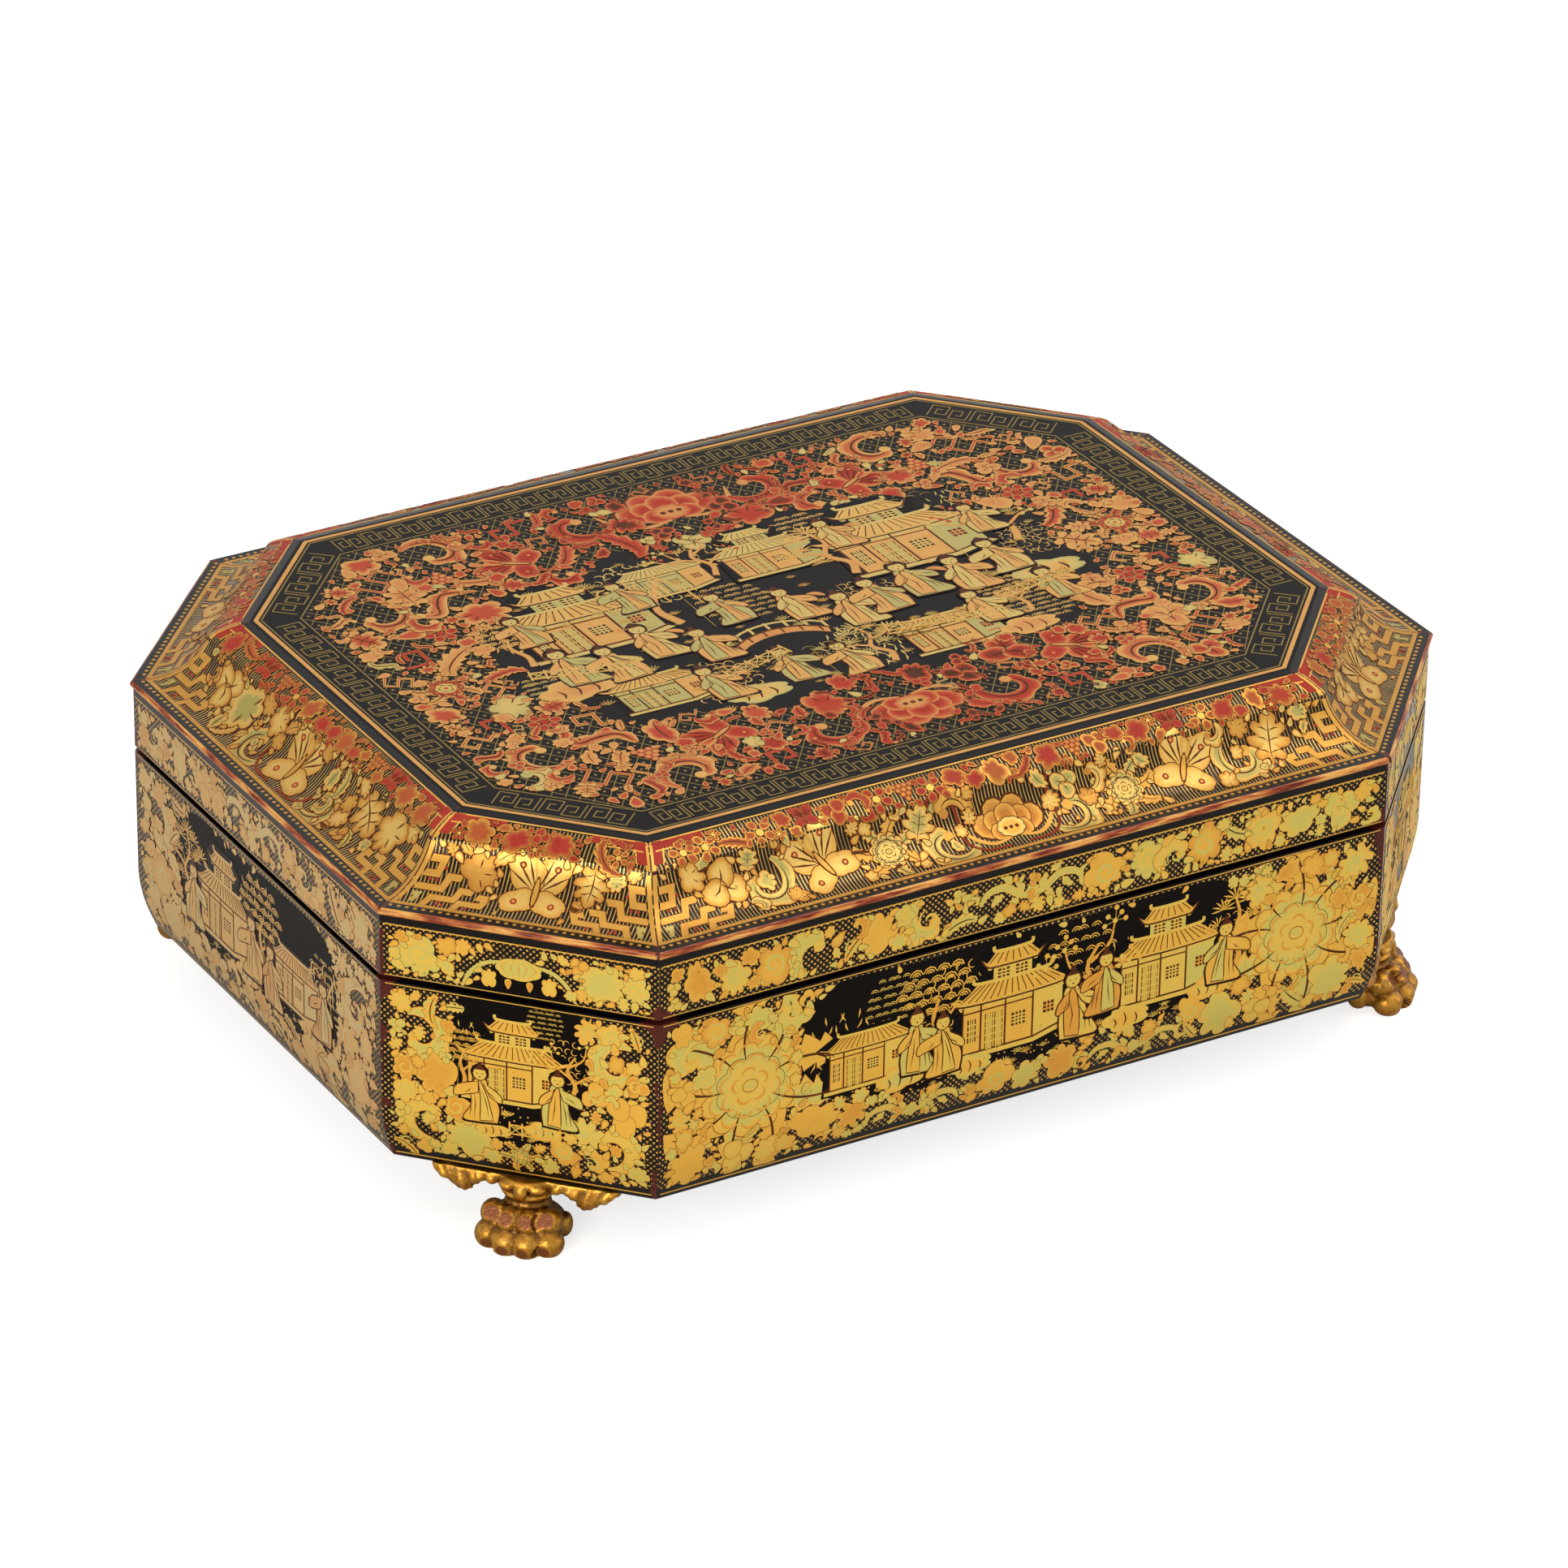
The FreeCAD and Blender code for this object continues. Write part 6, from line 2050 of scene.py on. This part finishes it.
FOOT_TOP = case_low
TOES = ((-9.2, 2.4, 3.9), (-3.2, -0.6, 4.1), (3.2, -0.6, 4.1), (9.2, 2.4, 3.9))
WING_REACH = (8.0, 10.5, 12.5, 14.5, 17.0, 19.0, 21.5, 24.0, 26.5, 29.0)
WING_LINE = (16.5, 18.6, 18.4, 17.0, 14.4, 13.4, 14.0, 16.2, 18.6, 20.8)


def foot_lumps():
    """One foot with its outside towards -Y and the line of the lid edge at y 0, in mm."""
    work = bmesh.new()
    lump(work, (0, 8.5, 5.0), (12.6, 12.0, 6.4))
    for x, y, radius in TOES:
        lump(work, (x, y + 1.2, 9.6), (radius, 4.8, 4.0))
        lump(work, (x, y - 1.3, 3.4), (radius * 1.3, 5.1, 4.8))
    for x in (-6.4, 0, 6.4):
        lump(work, (x, 1.6 + abs(x) / 5, 6.4), (3.8, 5.0, 7.0))
    for sign in (1, -1):
        lump(work, (sign * 11.2, 10.5, 5.0), (2.6, 3.6, 4.2))
    limb(work, [(0, 8.6, 8), (0, 9.2, 11), (0, 9.4, 14)], [8.4, 7.6, 7.0])
    lump(work, (0, 9.4, 16.4), (8.6, 7.8, 2.3))
    lump(work, (0, 9.6, 20.6), (9.6, 8.4, 3.2))
    lump(work, (0, 1.9, 18.6), (2.1, 1.5, 2.5))
    for sign in (1, -1):
        lump(work, (sign * 5.2, 3.0, 19.8), (2.6, 1.4, 1.4), sign * 20)
        wing = [(sign * 6, 8, 20.8), (sign * 14, 7.6, 21.2), (sign * 21, 7.4, 21.0), (sign * 28, 7.4, 21.6)]
        limb(work, wing, [3.4, 3.0, 2.6, 0.9])
        for reach in np.arange(9.5, 28.5, 1.9):
            low = np.interp(reach, WING_REACH, WING_LINE)
            wide = 1.25 + 0.35 * math.sin(reach * 2.1)
            ridge = [(sign * (reach + 2.2), 6.2, 21.4), (sign * (reach + 0.9), 5.4, (low + 21.6) / 2),
                     (sign * reach, 5.9, low + wide)]
            limb(work, ridge, [wide, wide * 1.15, wide * 0.8])
            limb(work, [(sign * (reach + 1.5), 8.4, 21.0), (sign * reach, 8.0, low + 2.0)], [2.2, 1.5])
    return work


# %% Skin of the foot


def foot_mesh(name):
    """Join the lumps into one skin, smooth it and cut it off at the floor and under the case."""
    work = foot_lumps()
    mesh = bpy.data.meshes.new(name)
    work.to_mesh(mesh)
    work.free()
    made = linked(name, mesh)
    skin = made.modifiers.new("skin", "REMESH")
    skin.mode = "VOXEL"
    skin.voxel_size = 0.5
    smooth = made.modifiers.new("smooth", "SMOOTH")
    smooth.iterations = 4
    shape = made.evaluated_get(bpy.context.evaluated_depsgraph_get()).to_mesh()
    points = np.zeros(len(shape.vertices) * 3, np.float32)
    shape.vertices.foreach_get("co", points)
    points = points.reshape(-1, 3)
    faces = [tuple(polygon.vertices) for polygon in shape.polygons]
    made.evaluated_get(bpy.context.evaluated_depsgraph_get()).to_mesh_clear()
    bpy.data.objects.remove(made)
    facet = np.zeros(len(points))
    for x, y, radius in TOES:
        for place, slope, wide in (((x, y - 2.5, 10.9), (0, -0.8, 0.6), 3.0),
                                   ((x, y - 5.7, 2.2), (0, -1, -0.25), 1.7)):
            slope = np.array(slope) / np.linalg.norm(slope)
            out = (points - place) @ slope
            near = np.linalg.norm(points - place - out[:, None] * slope, axis=1)
            cut = (out > 0) & (near < wide + 1.4) & (out < 3.5)
            points[cut] -= out[cut, None] * slope
            facet = np.where(cut & (near < wide + 0.2), 1.0, facet)
    points[:, 2] = np.clip(points[:, 2], 0.0, FOOT_TOP)
    return points, faces, facet


foot_points, foot_faces, foot_facets = foot_mesh("foot_lumps")
print("foot skin:", len(foot_faces), "faces, width %.1f mm" % np.ptp(foot_points[:, 0]))

# %% Gilding of the feet


def carved_gilding():
    """Gold on red-brown clay, rubbed bare in patches and on the facets of the toes, with painted shade in the
    hollows.
    """
    material, tree = new_material("gilded_carved_wood")
    place = in_millimetres(tree)
    ridge = add(tree, "NewGeometry", {}).outputs["Pointiness"]
    # Painted shade: hollows found by pointiness are darkened to a near black brown.
    hollow = add(tree, "MapRange", {0: ridge, 1: 0.46, 2: 0.54, 3: 1.0, 4: 0.0})
    worn = add(tree, "TexNoise", {"Vector": place, "Scale": 0.35, "Detail": 6.0, "Roughness": 0.65})
    gold = add(tree, "ValToRGB", {0: worn}, ((0.3, "#a8701f"), (0.5, "#cf9430"), (0.7, "#edbf58")))
    colour = add(tree, "Mix", {0: hollow, 6: gold, 7: "#3a1a0a"}, data_type="RGBA")
    facet = add(tree, "Attribute", {}, attribute_name="facet").outputs["Fac"]
    bare = add(tree, "MapRange", {0: worn, 1: 0.56, 2: 0.64, 3: 0.0, 4: 0.7})
    bare = add(tree, "Math", {0: bare, 1: facet}, operation="MAXIMUM")
    colour = add(tree, "Mix", {0: bare, 6: colour, 7: "#763d0b"}, data_type="RGBA")
    grain = add(tree, "TexNoise", {"Vector": place, "Scale": 0.9, "Detail": 5.0})
    shader = add(tree, "BsdfPrincipled", {
        "Base Color": colour,
        "Metallic": add(tree, "MapRange", {0: bare, 3: 0.8, 4: 0.4}),
        "Roughness": add(tree, "MapRange", {0: worn, 1: 0.3, 2: 0.7, 3: 0.24, 4: 0.46}),
        "Normal": add(tree, "Bump", {"Strength": 0.5, "Distance": 0.0004, "Height": grain}),
    })
    add(tree, "OutputMaterial", {"Surface": shader})
    return material


gilded_wood = carved_gilding()
for side in ("front_left", "front_right", "back_right", "back_left"):
    name = "carved_foot_" + side
    world_points = on_side(side, foot_points[:, 0], foot_points[:, 1], foot_points[:, 2])
    mesh = bpy.data.meshes.new(name)
    mesh.from_pydata(world_points * MM, [], foot_faces)
    mesh.attributes.new("facet", "FLOAT", "POINT").data.foreach_set("value", foot_facets.astype(np.float32))
    mesh.polygons.foreach_set("use_smooth", [True] * len(mesh.polygons))
    mesh.set_sharp_from_angle(angle=math.radians(50))
    mesh.materials.append(gilded_wood)
    foot = linked(name, mesh)
    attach(foot, "case")
    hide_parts("foot_" + side)
print("four carved feet made")

# %% [markdown]
# ## Hinges
# Two small cast brass butts at the back, screwed into the edges of the case and the lid. Old brass
# goes brown in the corners and stays bright on the knuckles where it is touched; here its tarnish
# lies in random patches.

# %% Brass


def old_brass():
    """Tarnished yellow brass."""
    material, tree = new_material("old_brass")
    place = in_millimetres(tree)
    stain = add(tree, "TexNoise", {"Vector": place, "Scale": 0.3, "Detail": 5.0, "Roughness": 0.6})
    brushed = add(tree, "TexNoise", {"Vector": place, "Scale": 2.2, "Detail": 2.0})
    shades = ((0.36, "#6e4f22"), (0.5, "#a9823c"), (0.62, "#c9a659"))
    shader = add(tree, "BsdfPrincipled", {
        "Base Color": add(tree, "ValToRGB", {0: stain}, shades),
        "Metallic": 0.9,
        "Roughness": add(tree, "MapRange", {0: stain, 1: 0.35, 2: 0.65, 3: 0.5, 4: 0.26}),
        "Normal": add(tree, "Bump", {"Strength": 0.2, "Distance": 0.0001, "Height": brushed}),
    })
    add(tree, "OutputMaterial", {"Surface": shader})
    return material


brass = old_brass()
for node in nodes:
    if node.startswith("hinge_"):
        clothe(node, brass)
print("brass on the hinges")

# %% [markdown]
# ## The inside
# The seven counter boxes are lacquered like the case. Their lids carry a gold frame, a band of small
# leaves and one of four centre motifs: a small scene, a peony, a blossoming tree or a lotus. The
# ceiling of the lid has a flower in the middle and butterflies round it, the usual ornament where a
# lid stands open.

# %% Lids of the counter boxes
COUNTER_LIDS = [node for node in nodes if node.startswith("counter_lid_")]
BAND_LEAVES = ((4.0, 5.2), (2.8, 4.0), (1.8, 2.8), (1.1, 1.8))


def lid_corners(node, inset):
    """Corners of a counter box's lid, moved in by an inset."""
    x_low, x_high = extent(node, 0)
    y_low, y_high = extent(node, 1)
    points = np.array([vert.co[:2] for vert in nodes[node].data.vertices]) / MM
    cut = cut_inset(*points.T).min() + inset
    low, high = (x_low + inset, y_low + inset), (x_high - inset, y_high - inset)
    corners = []
    for x, y in ((low[0], low[1]), (high[0], low[1]), (high[0], high[1]), (low[0], high[1])):
        if cut_inset(x, y) >= cut - 0.01:
            corners.append((x, y))
            continue
        to_cut = (cut - cut_inset(x, y)) * cant
        on_x = (x, math.copysign(abs(y) - to_cut / cant_length, y))
        on_y = (math.copysign(abs(x) - to_cut / cant_depth, x), y)
        corners += [on_x, on_y] if x * y > 0 else [on_y, on_x]
    corners = np.array(corners)
    turns = np.argsort(np.arctan2(*(corners - corners.mean(axis=0)).T[::-1]))
    return corners[turns]


def loop_line(face, corners, width, tone):
    """A line of even width round a closed outline."""
    start = (corners[0] + corners[-1]) / 2
    nearly_round = [start, *corners, start + (corners[0] - start) * 0.001]
    face.shapes.append(strap(nearly_round, width, tone, LIFT_RULE))


def small_leaf(face, u, v, size, chance):
    """A leaf in gold with a red or greenish heart."""
    pairs = ((ORANGE, CORAL), (GOLD, ORANGE), (GOLD, GREEN), (ORANGE, RED), (GOLD, GOLD))
    edge, core = pairs[int(chance.integers(len(pairs)))]
    motif = gold_leaf(edge, core, chance, size)
    face.put(motif, u, v, size, chance.uniform(0, 360), chance.uniform() < 0.5, 0.2)


CENTRES = (
    [(0, -6, 19, house(ORANGE, GREEN)), (-20, -8, 18, pine()), (20, -8, 17, leafy_tree())],
    [(0, 2, 17, peony(GOLD, CORAL, 8)), (0, 24, 8, butterfly(GOLD, PALE)),
     (0, -22, 8, wave_leaf(GOLD, CORAL))],
    [(0, -12, 20, blossom_tree(PALE, CORAL)), (-14, -12, 9, rock()), (14, 8, 8, butterfly(GOLD, PALE))],
    [(0, -4, 18, lotus(GOLD, CORAL, PALE)), (0, 18, 9, curl(GOLD, GREEN)),
     (0, -22, 8, wave_leaf(GOLD, GREEN))],
)
for number, node in enumerate(COUNTER_LIDS):
    top = extent(node, 2)[1]
    face = Face(lambda u, v, lift, top=top: np.column_stack([u, v, top + lift]))
    loop_line(face, lid_corners(node, 4.2), 1.1, GOLD)
    loop_line(face, lid_corners(node, 6.0), 0.4, ORANGE)
    loop_line(face, lid_corners(node, 19.0), 0.5, GOLD)
    rim, field = lid_corners(node, 7.2), lid_corners(node, 18.4)

    def band(u, v):
        return np.minimum(-outside(rim_line, u, v), outside(field_line, u, v))

    rim_line = np.concatenate([np.linspace(a, b, 40) for a, b in zip(rim, np.roll(rim, -1, axis=0))])
    field_line = np.concatenate([np.linspace(a, b, 40) for a, b in zip(field, np.roll(field, -1, axis=0))])
    box = (*rim.min(axis=0), *rim.max(axis=0))
    fill(face, band, box, BAND_LEAVES, small_leaf, [], 130 + number, 420, 1.2)
    middle = lid_corners(node, 19.0).mean(axis=0)
    for u, v, size, motif in CENTRES[number % 4]:
        face.put(motif, middle[0] + u, middle[1] + v, size)
    lay(face, "gilt_" + node, node, gilt_top)

# %% Ceiling of the lid
ceiling = Face(lambda u, v, lift: np.column_stack([u, -v, extent("top_panel", 2)[0] - lift]))
taken = []
put_both(ceiling, taken, peony(GOLD, CORAL, 9), 0, 0, 27, 0, ((0, 0, 0.9),), 0.25, False)
for sign in (1, -1):
    put_both(ceiling, taken, curl(GOLD, GREEN, 0.8, 0.34, 5), 34, sign * 14, 11, 60 * sign)
    put_both(ceiling, taken, butterfly(GOLD, PALE), 96, sign * 58, 13, 35 * sign, ((0, 0, 0.9),), 0.25)
put_both(ceiling, taken, wave_leaf(GOLD, CORAL), 56, 0, 13, 0)
lay(ceiling, "gilt_lid_ceiling", "lid", gilt_top)
